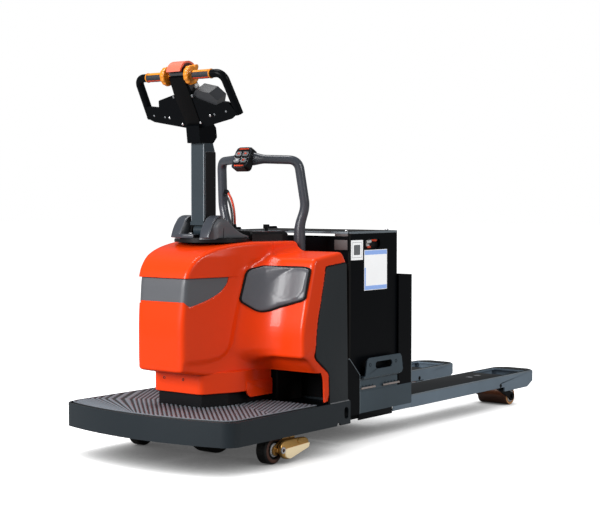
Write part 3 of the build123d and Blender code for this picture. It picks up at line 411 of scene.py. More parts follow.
def basis(axis):
    """Two directions that are square to axis and to each other."""
    axis = np.asarray(axis, float) / np.linalg.norm(axis)
    helper = np.array([0, 0, 1.0]) if abs(axis[2]) < 0.9 else np.array([1.0, 0, 0])
    side = np.cross(helper, axis)
    side /= np.linalg.norm(side)
    return axis, side, np.cross(axis, side)


def turned(profile, centre, axis, steps=48):
    """Profile of (along, radius) points carried round: centre + a·axis + r·(side·cos t + up·sin t)."""
    axis, side, up = basis(axis)
    profile = np.asarray(profile, float)
    angle = np.linspace(0, 2 * math.pi, steps, endpoint=False)
    round_it = np.cos(angle)[:, None] * side + np.sin(angle)[:, None] * up
    points = profile[:, None, :1] * axis + profile[:, None, 1:] * round_it[None] + np.asarray(centre, float)
    return points, quads(len(profile), steps, wrap=True)


def turned_ring(profile, centre, axis, steps=48):
    """The same for a profile that goes round a hole: its last point joins its first."""
    points, _ = turned(profile, centre, axis, steps)
    return points, looped(len(profile), steps)


def arc_profile(along, radius, size, at_end, steps=5):
    """Quarter round on a drum's rim: rising at its start, or falling at its end."""
    t = np.linspace(0, math.pi / 2, steps)
    a, r = (np.sin(t), np.cos(t)) if at_end else (-np.cos(t), np.sin(t))
    return np.stack([along + size * a, radius + size * r], 1)


def drum(low, high, radius, edge):
    """Profile of a cylinder from low to high with rounded rims, closed on its axis."""
    start = arc_profile(low + edge, radius - edge, edge, False)
    end = arc_profile(high - edge, radius - edge, edge, True)
    return np.concatenate([[[low, 0.0]], start, end, [[high, 0.0]]])


def bolt(centre, axis, radius, height):
    """Round-headed socket bolt standing on a face."""
    shape = [(0, radius), (height * 0.6, radius * 0.97), (height * 0.9, radius * 0.8), (height, radius * 0.6),
             (height, radius * 0.42), (height * 0.45, radius * 0.38), (height * 0.45, 0)]
    return turned(shape, centre, axis, 20)


def hex_nut(centre, axis, radius, height):
    """Six-sided head with a small crown."""
    shape = [(0, radius), (height * 0.85, radius), (height, radius * 0.88), (height, 0)]
    return turned(shape, centre, axis, 6)


def rounded(points, reach, step=4.0):
    """Open path with each corner made a parabola that starts reach before it, then evened to step."""
    points = np.asarray(points, float)
    reach = np.broadcast_to(reach, len(points))
    line = [points[:1]]
    for i in range(1, len(points) - 1):
        back, ahead = points[i - 1] - points[i], points[i + 1] - points[i]
        start = points[i] + back / np.linalg.norm(back) * reach[i]
        end = points[i] + ahead / np.linalg.norm(ahead) * reach[i]
        t = np.linspace(0, 1, max(4, int(2 * reach[i] / step)))[:, None]
        line.append((1 - t) ** 2 * start + 2 * t * (1 - t) * points[i] + t ** 2 * end)
    line.append(points[-1:])
    line = np.concatenate(line)
    along = np.concatenate([[0], np.cumsum(np.linalg.norm(np.diff(line, axis=0), axis=1))])
    even = np.linspace(0, along[-1], max(3, int(along[-1] / step)))
    return np.stack([np.interp(even, along, line[:, k]) for k in range(line.shape[1])], 1)


def swept(path, wide, tall, power=2.0, steps=28, up=(0, 0, 1.0), cap=0.35):
    """Bar along a path: rings of side·wide·cos t + up·tall·sin t, each to the power 2/p, rounded ends."""
    path = np.asarray(path, float)
    count = len(path)
    wide, tall = np.broadcast_to(wide, count), np.broadcast_to(tall, count)
    ahead = np.gradient(path, axis=0)
    ahead /= np.linalg.norm(ahead, axis=1)[:, None]
    side = np.cross(np.broadcast_to(up, (count, 3)), ahead)
    side /= np.linalg.norm(side, axis=1)[:, None]
    top = np.cross(ahead, side)
    angle = np.linspace(0, 2 * math.pi, steps, endpoint=False)
    c, s = np.cos(angle), np.sin(angle)
    c, s = np.sign(c) * np.abs(c) ** (2 / power), np.sign(s) * np.abs(s) ** (2 / power)
    ends = np.array([0.0, 0.6, 0.9])
    share = np.concatenate([ends, np.ones(count), ends[::-1]])
    spot = np.concatenate([[0, 0, 0], np.arange(count), [count - 1] * 3]).astype(int)
    push = np.concatenate([[-1, -0.8, -0.45], np.zeros(count), [0.45, 0.8, 1]]) * cap
    size = np.minimum(wide, tall)[spot]
    centre = path[spot] + ahead[spot] * (push * size)[:, None]
    ring = (side[spot][:, None] * (wide[spot] * share)[:, None, None] * c[None, :, None]
            + top[spot][:, None] * (tall[spot] * share)[:, None, None] * s[None, :, None])
    return centre[:, None] + ring, quads(len(spot), steps, wrap=True)


def outline_of(points, radius, steps=5):
    """Closed flat outline with each corner rounded by a parabola of about that radius."""
    points = np.asarray(points, float)
    radius = np.broadcast_to(radius, len(points))
    ahead = np.roll(points, -1, axis=0) - points
    length = np.linalg.norm(ahead, axis=1)
    ahead = ahead / length[:, None]
    back = -np.roll(ahead, 1, axis=0)
    reach = np.minimum(radius, 0.49 * np.minimum(length, np.roll(length, 1)))
    t = np.linspace(0, 1, steps)[None, :, None]
    start, end = (points + back * reach[:, None])[:, None], (points + ahead * reach[:, None])[:, None]
    curve = (1 - t) ** 2 * start + 2 * t * (1 - t) * points[:, None] + t ** 2 * end
    return curve.reshape(-1, 2)


def oblong(u0, u1, v0, v1, corner, steps=5):
    """Rounded outline of a rectangle between two values each way."""
    return outline_of([(u0, v0), (u1, v0), (u1, v1), (u0, v1)], corner, steps)


def inward(outline, amount):
    """Outline moved inwards along its mitred normals."""
    ahead = np.roll(outline, -1, axis=0) - outline
    ahead = ahead / np.maximum(np.linalg.norm(ahead, axis=1), 1e-9)[:, None]
    back = np.roll(ahead, 1, axis=0)
    normal = np.stack([-(ahead + back)[:, 1], (ahead + back)[:, 0]], 1)
    square = np.maximum(np.sum(normal * normal, axis=1) / 2, 0.4)
    area = np.sum(outline[:, 0] * np.roll(outline[:, 1], -1) - outline[:, 1] * np.roll(outline[:, 0], -1))
    return outline + normal * (amount * np.sign(area) / square)[:, None]


def plate(outline, low, high, spot, bevel=1.5):
    """Flat plate: the outline carried from low to high with small rounded edges and two flat faces."""
    t = np.linspace(0, math.pi / 2, 4)
    levels = np.concatenate([low + bevel * (1 - np.cos(t)), high - bevel * (1 - np.cos(t[::-1]))])
    insets = np.concatenate([bevel * (1 - np.sin(t)), bevel * (1 - np.sin(t[::-1]))])
    rings = np.stack([inward(outline, inset) for inset in insets])
    flat = np.concatenate([rings, np.broadcast_to(levels[:, None, None], rings.shape[:2] + (1,))], 2)
    return spot(flat.reshape(-1, 3)), capped(*rings.shape[:2])


def hollow(outline, wall, low, high, spot, edge=2.0):
    """Tube with a wall: the outline and its inset copy carried up, joined by rounded rims."""
    inset = inward(outline, wall)
    inner_edge, outer_edge = inward(outline, wall - edge), inward(outline, edge)
    loops = [(outline, low + edge), (outline, high - edge), (outer_edge, high), (inner_edge, high),
             (inset, high - edge), (inset, low + edge), (inner_edge, low), (outer_edge, low)]
    rings = np.stack([np.column_stack([loop, np.full(len(loop), float(level))]) for loop, level in loops])
    return spot(rings.reshape(-1, 3)), looped(*rings.shape[:2])


def on_plane(origin, across, up, out):
    """Function that puts (u, v, w) points at origin + u·across + v·up + w·out."""
    matrix = np.array([across, up, out], float)
    return lambda points: np.asarray(points, float) @ matrix + np.asarray(origin, float)


side_right = on_plane((0, 0, 0), (1, 0, 0), (0, 0, 1), (0, -1, 0))
side_left = on_plane((0, 0, 0), (1, 0, 0), (0, 0, 1), (0, 1, 0))
plan = on_plane((0, 0, 0), (1, 0, 0), (0, 1, 0), (0, 0, 1))
across = on_plane((0, 0, 0), (0, 1, 0), (0, 0, 1), (-1, 0, 0))


def mirrored(points):
    """Points on the other side of the truck."""
    return np.asarray(points, float) * np.array([1, -1, 1.0])


def both_sides(*parts):
    """Parts of the right side and their mirror images."""
    parts = [(np.asarray(points, float).reshape(-1, 3), faces) for points, faces in parts]
    return parts + [(mirrored(points), faces) for points, faces in parts]


def of_side(side):
    """Plane, name and joint letter of one side of the truck: side is -1 right, 1 left."""
    return (side_right, "right", "r") if side < 0 else (side_left, "left", "l")


# ---- cables from the console to the bar ------------------------------------------------------
def cable(name, route, material):
    """Cord on one smooth spline through the route's control points, tied in at both ends."""
    data = bpy.data.curves.new(name, "CURVE")
    data.dimensions = "3D"
    spline = data.splines.new("NURBS")
    spline.points.add(len(route) - 1)
    for point, spot in zip(spline.points, route):
        point.co = (*spot, 1.0)
    spline.order_u = 3
    spline.use_endpoint_u = True
    spline.resolution_u = 16
    data.bevel_depth = 0.005
    data.bevel_resolution = 5
    data.use_fill_caps = True
    data.materials.append(material)
    made = bpy.data.objects.new(name, data)
    scene.collection.objects.link(made)
    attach(made, "chassis")
    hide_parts("pod_cables")


cable("cable_black", [(-0.548, 0.118, 0.886), (-0.548, 0.118, 0.930), (-0.542, 0.132, 0.985),
                      (-0.520, 0.168, 1.022), (-0.506, 0.1935, 1.034)], CABLE_BLACK)
cable("cable_red", [(-0.534, 0.116, 0.886), (-0.534, 0.116, 0.934), (-0.528, 0.131, 0.994),
                    (-0.510, 0.166, 1.034), (-0.499, 0.1905, 1.047)], CABLE_RED)

# moulded boots where the cables leave the console and where they enter the bar
reliefs = [turned([(0, 9.5), (3, 9.5), (5, 8), (22, 5.9), (24, 5.0), (24, 0)], (x, y, 886), (0, 0, 1), 24)
           for x, y in ((722, 118), (736, 116))]
reliefs += [turned([(-3, 8.5), (3, 8.5), (16, 6.0), (18, 5.0), (18, 0)], (x, y, z), aim, 24)
            for (x, y, z), aim in (((764, 193.5, 1034), (-0.45, -0.83, -0.33)),
                                   ((771, 190.5, 1047), (-0.38, -0.85, -0.36)))]
piece("cable_boots", reliefs, BLACK_PLASTIC, "chassis")


# ---- orange hood: one moulded shell over the drive unit and across the wall --------------
def field_of(outline, low=(40, -60), high=(860, 940), step=2.0):
    """Signed distance to a closed outline, negative inside, kept on a grid and read bilinearly."""
    u = np.arange(low[0], high[0] + step, step)
    v = np.arange(low[1], high[1] + step, step)
    gu, gv = np.meshgrid(u, v, indexing="ij")
    nearest, inside = np.full(gu.shape, 1e9), np.zeros(gu.shape, bool)
    for (au, av), (bu, bv) in zip(outline, np.roll(outline, -1, axis=0)):
        du, dv = bu - au, bv - av
        t = np.clip(((gu - au) * du + (gv - av) * dv) / max(du * du + dv * dv, 1e-9), 0, 1)
        nearest = np.minimum(nearest, np.hypot(gu - au - t * du, gv - av - t * dv))
        if dv:
            inside ^= ((av > gv) != (bv > gv)) & (gu < au + (gv - av) * du / dv)
    table = np.where(inside, -nearest, nearest)

    def look(a, b):
        """Distance at points (a, b), read between the grid's values."""
        i = np.clip((a - low[0]) / step, 0, len(u) - 1.001)
        j = np.clip((b - low[1]) / step, 0, len(v) - 1.001)
        i0, j0 = i.astype(int), j.astype(int)
        fi, fj = i - i0, j - j0
        return ((table[i0, j0] * (1 - fi) + table[i0 + 1, j0] * fi) * (1 - fj)
                + (table[i0, j0 + 1] * (1 - fi) + table[i0 + 1, j0 + 1] * fi) * fj)
    return look


def join(a, b, k):
    """Union of two fields with a fillet about 0.85k in radius."""
    h = np.maximum(k - np.abs(a - b), 0) / k
    return np.minimum(a, b) - h * h * k / 4


def meet(a, b, k):
    """Overlap of two fields with its edge rounded in the same way."""
    return -join(-a, -b, k)


def ease(value, start, end):
    """Smooth step from 0 at start to 1 at end."""
    t = np.clip((value - start) / (end - start), 0, 1)
    return t * t * (3 - 2 * t)


nose_side = outline_of([(147, 356), (146, 520), (157, 600), (168, 700), (181, 743), (210, 776), (235, 794),
                        (265, 812), (310, 827), (395, 840), (470, 846), (742, 846), (742, 328), (350, 328),
                        (250, 336)], [10, 60, 40, 30, 40, 30, 30, 30, 40, 60, 60, 12, 4, 30, 30], 7)
nose_half = [(146, 117), (497, 197), (540, 204), (640, 214), (742, 226)]
nose_plan = outline_of(nose_half + [(x, -y) for x, y in nose_half[::-1]],
                       [30, 60, 30, 30, 6, 6, 30, 30, 60, 30], 9)
wall_side = outline_of([(607, 199), (602, 322), (532, 388), (497, 404), (497, 518), (567, 770), (578, 784),
                        (740, 806), (756, 804), (776, 776), (782, 766), (789, 199)],
                       [2, 30, 14, 6, 60, 14, 12, 8, 8, 12, 12, 2], 7)
band_line = outline_of([(110, 622), (150, 622), (185, 603), (265, 625), (330, 655), (362, 690), (368, 722),
                        (110, 722)], [2, 12, 14, 40, 40, 16, 2, 2], 7)
bulge_line = outline_of([(583, 784), (478, 775), (441, 740), (395, 576), (379, 506), (368, 445), (331, 410),
                         (258, 399), (175, 401), (60, 401), (60, 900), (583, 900)],
                        [30, 30, 40, 60, 60, 40, 40, 60, 30, 2, 2, 2], 7)
panel_line = outline_of([(659, 207), (655, 332), (566, 400), (576, 509), (635, 750), (770, 762), (781, 207)],
                        [6, 20, 16, 30, 12, 12, 6], 6)
nose_side_f, wall_side_f = field_of(nose_side), field_of(wall_side)
nose_plan_f = field_of(nose_plan, (40, -300), (860, 620))
band_f, bulge_f, panel_f = field_of(band_line), field_of(bulge_line), field_of(panel_line)
cap_z = 714.0       # crease between the grey plate and the cap above it
ray_length = 640.0  # longer than any way from the upright axis to the hood's skin


def nose_field(p):
    """Nose: its side outline met with its plan, sunk 8 mm by the soft fold, with a cap 6 mm proud."""
    x, y, z = p[..., 0], np.abs(p[..., 1]), p[..., 2]
    sunk = 8.0 * ease(bulge_f(x, z), -6, 26) * ease(x, 150, 190)
    nose = meet(nose_side_f(x, z), nose_plan_f(x, y) + sunk, 16)
    cap = meet(nose - 6.0 * (1 - ease(x, 330, 440)) * (1 - ease(z, 790, 828)), cap_z - z, 1.5)
    return np.minimum(nose, cap)


def wall_field(p):
    """Wall: its side outline carried across; its sides lean out by 11 mm within 60 mm of the outline."""
    x, y, z = p[..., 0], np.abs(p[..., 1]), p[..., 2]
    face = wall_side_f(x, z)
    return meet(face, y - half_width + 11 * np.clip(1 + face / 60, 0, 1), 16)


def hood_field(p):
    """Nose and wall joined by a wide valley that tightens towards the top and the foot openings."""
    z = p[..., 2]
    return join(nose_field(p), wall_field(p), 20 + 130 * ease(z, 335, 440) - 110 * ease(z, 735, 795))


def hood_cut(p):
    """The hood with the grey plate's recess, 4.5 mm deep, and pockets for the side panels."""
    x, y, z = p[..., 0], np.abs(p[..., 1]), p[..., 2]
    full = hood_field(p)
    above, far_inside = z >= cap_z + 0.05, -99
    recess = np.where(above, far_inside, np.minimum(full + 4.5, meet(-band_f(x, z), z * 0 - 50, 1)))
    pocket = -np.maximum(half_width - 8.5 - y, panel_f(x, z) - 2.0)
    return np.maximum(np.maximum(full, recess), pocket)


def hits(field, start, aim, far, samples=70):
    """Where rays start + t·aim leave the solid: coarse steps in from far, then halving."""
    steps = np.linspace(1, 0, samples)
    outer, inner = np.array(far, float), np.zeros(np.shape(far))
    found = np.zeros(np.shape(far), bool)
    for step in steps[1:]:
        t = far * step
        now = (field(start + aim * t[..., None]) < 0) & ~found
        inner = np.where(now, t, inner)
        found |= now
        outer = np.where(found, outer, t)
    for _ in range(16):
        middle = (outer + inner) / 2
        full = field(start + aim * middle[..., None]) < 0
        inner, outer = np.where(full, middle, inner), np.where(full, outer, middle)
    return start + aim * ((inner + outer) / 2)[..., None]


def slope(field, p, step=1.2):
    """Outward unit normal: the gradient of the field by central differences."""
    shift = np.eye(3) * step
    n = np.stack([field(p + s) - field(p - s) for s in shift], -1)
    return n / np.maximum(np.linalg.norm(n, axis=-1), 1e-9)[..., None]


def spread(keys, counts):
    """Values from each key to the next, with the given number of even steps in each."""
    runs = [np.linspace(a, b, n, endpoint=False) for a, b, n in zip(keys[:-1], keys[1:], counts)]
    return np.concatenate(runs + [[keys[-1]]])


def ray_angle(x, y):
    """Angle of a plan point round the hood's upright axis, in degrees, 180 at the front."""
    return np.degrees(np.arctan2(y, axis_x - np.asarray(x, float)) * -1) + 180


def from_axis(turn, z, field, depth=0.0):
    """Points where level rays from the upright axis leave a field made smaller by depth."""
    aim = np.stack([np.cos(turn) + 0 * z, -np.sin(turn) + 0 * z, 0 * z], -1)
    start = np.stack([axis_x + 0 * z, 0 * z, z], -1)
    return hits(lambda p: field(p) + depth, start, aim, np.full(z.shape, ray_length))


def hood_grid():
    """Rays from the upright axis: level rows to the cap, then a fan that closes over the top."""
    corner, fold, valley = ray_angle(160, 118), ray_angle(380, 172), ray_angle(497, 200)
    panel_lead, panel_tail, rear = ray_angle(575, 440), ray_angle(776, 440), ray_angle(789, 430)
    edge = ray_angle(500, 430)
    half = spread([180, corner + 2, corner - 2, fold, valley, edge + 1.5, edge - 1.5, panel_lead + 4,
                   panel_lead - 14, panel_tail + 2, panel_tail - 2, rear - 2, 0],
                  [8, 10, 46, 22, 22, 12, 8, 40, 10, 8, 4, 22])
    turn = np.radians(np.concatenate([half, -half[-2:0:-1]]))
    x_side = np.clip(axis_x - 540 * np.cos(np.pi - np.abs(turn)), 146, 900)
    band_low = np.interp(x_side, [146, 150, 185, 265, 330, 362, 368, 371],
                         [622, 622, 603, 625, 655, 690, 711, 690])
    share = spread([0, 0.25, 0.97, 1.0], [14, 40, 6])
    low_rows = 337 + (band_low[None] - 337) * share[:, None]
    steps = spread([0, 0.05, 0.93, 1.0], [6, 22, 8])[1:]
    high_rows = band_low[None] + (cap_z - 0.1 - band_low[None]) * steps[:, None]
    cap_rows = cap_z + np.array([0.1, 0.6, 1.4, 3.5, 6.0, 8.0])[:, None] + 0 * turn[None]
    walls = from_axis(turn[None], np.concatenate([low_rows, high_rows, cap_rows]), hood_cut)
    rim = walls[-1]
    reach = np.hypot(rim[:, 0] - axis_x, rim[:, 1])[None]
    rise = spread([0, 1], [34])[1:, None]
    pull = spread([1, 0.9, 0.02], [12, 44])[1:, None]
    out = np.concatenate([1 + 0 * rise, pull]) * reach
    fan_z, fan_rise = cap_z + 8, 134
    top = fan_rise * np.concatenate([rise, 1 + 0 * pull]) + 0 * reach
    aim = np.stack([np.cos(turn)[None] * out, -np.sin(turn)[None] * out, top], -1)
    aim /= np.linalg.norm(aim, axis=-1)[..., None]
    centre = np.broadcast_to(np.array([axis_x, 0, fan_z]), aim.shape)
    dome = hits(hood_cut, centre, aim, np.full(aim.shape[:2], ray_length))
    return np.concatenate([walls, dome])


def hood_shell():
    """The shell's points with a lip turned in along the bottom, shaded with the field's own normals."""
    points = hood_grid()
    normals = slope(hood_cut, points)
    lip = points[:1].copy()
    inward_by = lip - np.array([axis_x, 0, 0])
    inward_by[..., 2] = 0
    inward_by /= np.linalg.norm(inward_by, axis=-1)[..., None]
    rims = [lip - inward_by * d + np.array([0, 0, -h]) for d, h in ((1.2, 0.9), (6, 1.0), (40, 1.0))]
    rows = np.concatenate(rims[::-1] + [points])
    shades = np.concatenate([np.broadcast_to([0, 0, -1.0], rims[0].shape)] * 3 + [normals])
    count, cols = rows.shape[:2]
    faces = quads(count, cols, wrap=True)
    apex, floor_mid = rows[-1].mean(axis=0), np.array([axis_x, 0, rows[0, 0, 2]])
    base = count * cols
    faces += [[base - cols + (i + 1) % cols, base - cols + i, base][::-1] for i in range(cols)]
    faces += [[i, (i + 1) % cols, base + 1][::-1] for i in range(cols)]
    verts = np.concatenate([rows.reshape(-1, 3), [apex], [floor_mid]])
    shades = np.concatenate([shades.reshape(-1, 3), [[0, 0, 1.0]], [[0, 0, -1.0]]])
    mesh = bpy.data.meshes.new("hood_shell")
    mesh.from_pydata(place(verts), [], faces)
    work = bmesh.new()
    work.from_mesh(mesh)
    bmesh.ops.recalc_face_normals(work, faces=work.faces)
    work.to_mesh(mesh)
    work.free()
    mesh.shade_smooth()
    mesh.normals_split_custom_set_from_vertices(shades)
    mesh.materials.append(ORANGE)
    made = linked(mesh)
    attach(made, "chassis")
    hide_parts("hood_nose", "hood_wall")


def hood_legs():
    """Thin orange legs outside the foot openings: level rings of the wall's own field, cut by the panels."""
    def leg(p):
        """The wall outside the opening, without what the side panel covers."""
        return np.maximum(meet(wall_field(p), 431 - p[..., 1], 3), 2.0 - panel_f(p[..., 0], p[..., 2]))

    turn = np.linspace(0, 2 * math.pi, 160, endpoint=False)
    z = np.linspace(199.5, 338.5, 40)[:, None] + 0 * turn[None]
    ring = np.stack([np.cos(turn)[None] + 0 * z, np.sin(turn)[None] + 0 * z, 0 * z], -1)
    middle = np.interp(z, [199, 332, 338], [628, 626, 622])
    start = np.stack([middle, 435.5 + 0 * z, z], -1)
    points = hits(leg, start, ring, np.full(z.shape, 60.0), 90)
    piece("hood_legs", both_sides((points, capped(*z.shape))), ORANGE, "chassis", sharp=40)


def shaded_hood_foot():
    """Inner foot of the wall between the two foot openings, painted black: painted shade inside the openings.
    """
    foot = hollow(oblong(622, 786, -203, 203, 8), 8, 199.5, 338, plan)
    piece("shaded_hood_foot", [foot], BLACK_AND_PAINTED_SHADE, "chassis")


def badge_plate():
    """Grey plate in the recess round the nose: follows the nose 3 mm down and is 3.5 mm thick."""
    x_end = 365.5
    side = spread([x_end, 340, 175, 150], [14, 40, 10])
    side_y = np.interp(side, [146, 497], [117, 197])
    front_y = np.linspace(112, -112, 34)
    x = np.concatenate([side, np.full(34, 120.0), side[::-1]])
    y = np.concatenate([side_y, front_y, -side_y[::-1]])
    u = np.linspace(0, 1, 26)[:, None]
    low = np.interp(x, [110, 150, 185, 265, 330, 362, 368], [622, 622, 603, 625, 655, 690, 712])[None] + 1.6
    z = low + (cap_z - 0.8 - low) * u
    turn = -np.arctan2(y, x - axis_x)[None]
    both = np.stack([from_axis(turn, z, nose_field, depth) for depth in (3.0, 6.5)])
    piece("badge_plate", [(both, backed(*z.shape))], GREY_PLASTIC, "chassis",
          ["badge_band"], 30)


hood_shell()
hood_legs()
shaded_hood_foot()
badge_plate()


# ---- platform mat -------------------------------------------------------------------------
def rib_phase(x, y):
    """Count of rib pitches: strokes at 45 to 69 degrees over the front, bent on a line to the far corner."""
    bend_x = (664.3 - y + 0.62 * x) / 2.064
    far = y > 400 - (x - 183) * 1.444
    ax, ay = np.where(far, bend_x, x), np.where(far, y - (x - bend_x) * 0.62, y)
    lip = ay - (ax - 80)
    for _ in range(14):
        lean = np.interp(lip, [-60, 60, 88, 154, 193, 330], [1.0, 1.08, 1.3, 1.89, 2.12, 2.6])
        lip = (lip + ay - (ax - 80) * lean) / 2
    rear = (y < 0) & ((x - 324) * 0.917 - (y + 389) * 0.4 > 0)
    return np.where(rear, (y - 0.49 * x) / 19.5, lip / 23.7)


def ribbed_mat_piece():
    """Rubber mat round the plinth: rings from its outer edge inwards, raised in ribs inside a smooth lip."""
    arc_y, arc_radius = np.linspace(-340, 340, 21), 1343
    arc = np.stack([14 + arc_radius - np.sqrt(arc_radius ** 2 - arc_y ** 2), arc_y], 1)
    corners = np.concatenate([[[590.5, -426], [81, -426]], arc, [[81, 426], [590.5, 426]]])
    outer = rounded(corners, [0, 50] + [14] * 21 + [50, 0], 2.5)
    inner_keys = np.array([(590.5, -159), (372, -159), (267, -112), (267, 112), (372, 159), (590.5, 159)])
    share = np.array([0, 0.115, 0.30, 0.70, 0.885, 1.0])
    u = np.linspace(0, 1, len(outer))
    inner = np.stack([np.interp(u, share, inner_keys[:, k]) for k in (0, 1)], 1)
    wide, rib_height = np.linalg.norm(inner - outer, axis=1), 2.8
    close = np.array([0, 0.3, 1.0, 3.0, 5.5, 7.8, 8.8, 10.8, 11.8])
    rows = np.concatenate([close[:, None] + 0 * wide[None],
                           close[-1] + (wide[None] - close[-1]) * np.linspace(0, 1, 106)[1:, None]])
    flat = outer[None] + ((inner - outer) / wide[:, None])[None] * rows[..., None]
    x, y = flat[..., 0], flat[..., 1]
    rib = ease(np.cos(2 * np.pi * rib_phase(x, y)), -0.35, 0.35)
    field = ease(rows, 11.4, 12.4) * (1 - ease(rows, wide[None] - 4, wide[None] - 3))
    lip = 1 - ease(rows, 8.0, 8.8)
    rise = np.maximum(lip, field * rib) - (rows < 0.1) * 0.5
    z = mat_top + rib_height * (rise - 1) - 0.12 * (rows < 1.5)
    top = np.concatenate([flat, z[..., None]], -1)
    foot = top[[0, -1]].copy()
    foot[..., 2] = 199.3
    slices = np.concatenate([foot[:1], top, foot[1:]]).transpose(1, 0, 2)
    piece("platform_ribbed_mat", [(slices, capped(*slices.shape[:2]))], MAT_RUBBER_PAINTED_SHADE, "chassis",
          ["platform_mat"], 60)


ribbed_mat_piece()


# ---- lower band and small hood parts ---------------------------------------------------------
band_half = [(250, -122), (388, -180), (440, -190), (600, -190)]
band_plan = band_half + [(x, -y) for x, y in band_half[::-1]]
lower = hollow(outline_of(band_plan, [22, 26, 26, 3, 3, 26, 26, 22], 7), 9, 262.5, 345, plan)
piece("hood_lower_band", [lower], ORANGE, "chassis", sharp=35)

# orange lip that steps down over the foot opening, on each side behind the band
step_line = outline_of([(446, 262), (452, 250), (466, 236), (606, 236), (606, 300), (446, 300)],
                       [8, 6, 8, 2, 2, 2])
piece("hood_step", both_sides(plate(step_line, 183, 192, side_right, 2.5)), ORANGE, "chassis")

screw = [(0, 5.6), (1.2, 5.2), (1.2, 3.4), (-1.5, 3.0), (-1.5, 0)]
screws = [turned(screw, (249.5, y, 316), (-1, 0, 0), 20) for y in (67.0, -33.0)]
piece("band_screws", screws, GLOSS_BLACK, "chassis")


# side panels, each with a black strip round it: painted shade in the gap round the panel
gap_shade = hollow(inward(panel_line, -3.2), 3.2, 433.0, 439.3, side_right, 0.6)
piece("panel_gap_shades", both_sides(gap_shade), BLACK_AND_PAINTED_SHADE, "chassis")
panel_skin = plate(inward(panel_line, 0.4), 434.0, 440.0, side_right, 2.2)
piece("side_panel_skins", both_sides(panel_skin), SIDE_PANEL, "chassis",
      ["side_panel_right", "side_panel_left"], 40)


# ---- back pads -----------------------------------------------------------------------------------
pad_keys = [(416, 178, 618), (450, 186, 738), (530, 202, 750), (561, 424, 750), (526, 420, 624),
            (513, 262, 581), (501, 199, 573)]
mm_per_degree = 6.2  # length on the hood of one degree round its axis, near the pads


def pad_outline(shrink):
    """Pad's rounded outline, smaller by shrink, as (length round the axis, height), and its middle."""
    keys = np.array([(ray_angle(x, y) * mm_per_degree, z) for x, y, z in pad_keys])
    rim = inward(outline_of(keys, [16, 22, 10, 14, 14, 30, 30], 8), shrink)
    return rim, rim.mean(axis=0) + np.array([0, 6.0])


def on_hood(spots, lift, sign):
    """Points over the plain hood at (length round the axis, height), moved out along its normal by lift."""
    skin = from_axis(np.radians(spots[..., 0] / mm_per_degree), spots[..., 1], hood_field)
    return (skin + slope(hood_field, skin, 8.0) * lift) * np.array([1, sign, 1])


def pad_side(name, sign):
    """Crowned pad: rings of its outline shrunk to share and moved out by lift, round edge, 14 mm crown."""
    rim, middle = pad_outline(0.8)
    share = np.array([0.955, 1.0, 1.0, 0.995, 0.98, 0.955, 0.92, 0.86, 0.78, 0.66, 0.5, 0.34, 0.2, 0.1, 0.03])
    lift = np.array([-1.0, 1.0, 5.0, 7.5, 9.4, 10.8, 11.8, 12.6, 13.1, 13.5, 13.8, 14.0, 14.05, 14.1, 14.1])
    back_share = share[:0:-1] * share[0]  # the back follows the hood, 1 mm inside it
    share = np.concatenate([back_share, share])
    lift = np.concatenate([0 * back_share + lift[0], lift])
    rings = middle + (rim - middle)[None] * share[:, None, None]
    points = on_hood(rings, lift[:, None, None], sign)
    return piece("hood_pad_" + name, [(points, capped(*rings.shape[:2]))], PAD_SKIN, "chassis",
                 ["back_pad_" + name], 70)


def puffed(made, cap=1.2, pressure=4.0):
    """Cloth swell: voxel remesh at 4 mm, inner pressure, movement capped at cap mm, one subdivision."""
    rest = made.data
    remesh = made.modifiers.new("voxels", "REMESH")
    remesh.mode, remesh.voxel_size = "VOXEL", 0.004
    depsgraph = bpy.context.evaluated_depsgraph_get()
    made.data = bpy.data.meshes.new_from_object(made.evaluated_get(depsgraph))
    made.modifiers.clear()
    count = len(made.data.vertices)
    before = np.empty(count * 3)
    made.data.vertices.foreach_get("co", before)
    cloth = made.modifiers.new("cloth", "CLOTH")
    cloth.settings.use_pressure = True
    cloth.settings.uniform_pressure_force = pressure
    cloth.settings.effector_weights.gravity = 0
    for frame_number in range(1, 21):
        scene.frame_set(frame_number)
    depsgraph = bpy.context.evaluated_depsgraph_get()
    after_mesh = bpy.data.meshes.new_from_object(made.evaluated_get(depsgraph))
    after = np.empty(count * 3)
    after_mesh.vertices.foreach_get("co", after)
    made.modifiers.clear()
    scene.frame_set(1)
    step = (after - before).reshape(-1, 3)
    length = np.linalg.norm(step, axis=1, keepdims=True)
    step *= np.minimum(1, cap * MM / np.maximum(length, 1e-9))
    made.data.vertices.foreach_set("co", (before + step.reshape(-1)).astype(np.float32))
    made.data.update()
    bpy.data.meshes.remove(after_mesh)
    smooth = made.modifiers.new("smooth", "SUBSURF")
    smooth.levels = smooth.render_levels = 1
    made.data.shade_smooth()
    made.data.materials.clear()
    made.data.materials.append(PAD_SKIN)
    bpy.data.meshes.remove(rest)


def pad_beading(name, sign):
    """Black bead that runs round the pad's foot."""
    rim, _ = pad_outline(0.0)
    closed = np.concatenate([rim, rim[:1]])
    path = on_hood(closed, 3.0, sign)
    angle = np.linspace(0, 2 * math.pi, 10, endpoint=False)
    out = on_hood(closed, 6.0, sign) - path
    out /= np.linalg.norm(out, axis=1)[:, None]
    ahead = np.gradient(path, axis=0)
    ahead /= np.maximum(np.linalg.norm(ahead, axis=1), 1e-9)[:, None]
    side = np.cross(ahead, out)
    around = out[:, None] * np.cos(angle)[None, :, None] + side[:, None] * np.sin(angle)[None, :, None]
    tube = (path[:, None] + 3.8 * around)[:-1]
    piece("pad_bead_" + name, [(tube, looped(*tube.shape[:2]))], BLACK_AND_PAINTED_SHADE, "chassis", sharp=80)


for name, sign in (("right", 1), ("left", -1)):
    pad = pad_side(name, sign)
    puffed(pad)
    pad_beading(name, sign)


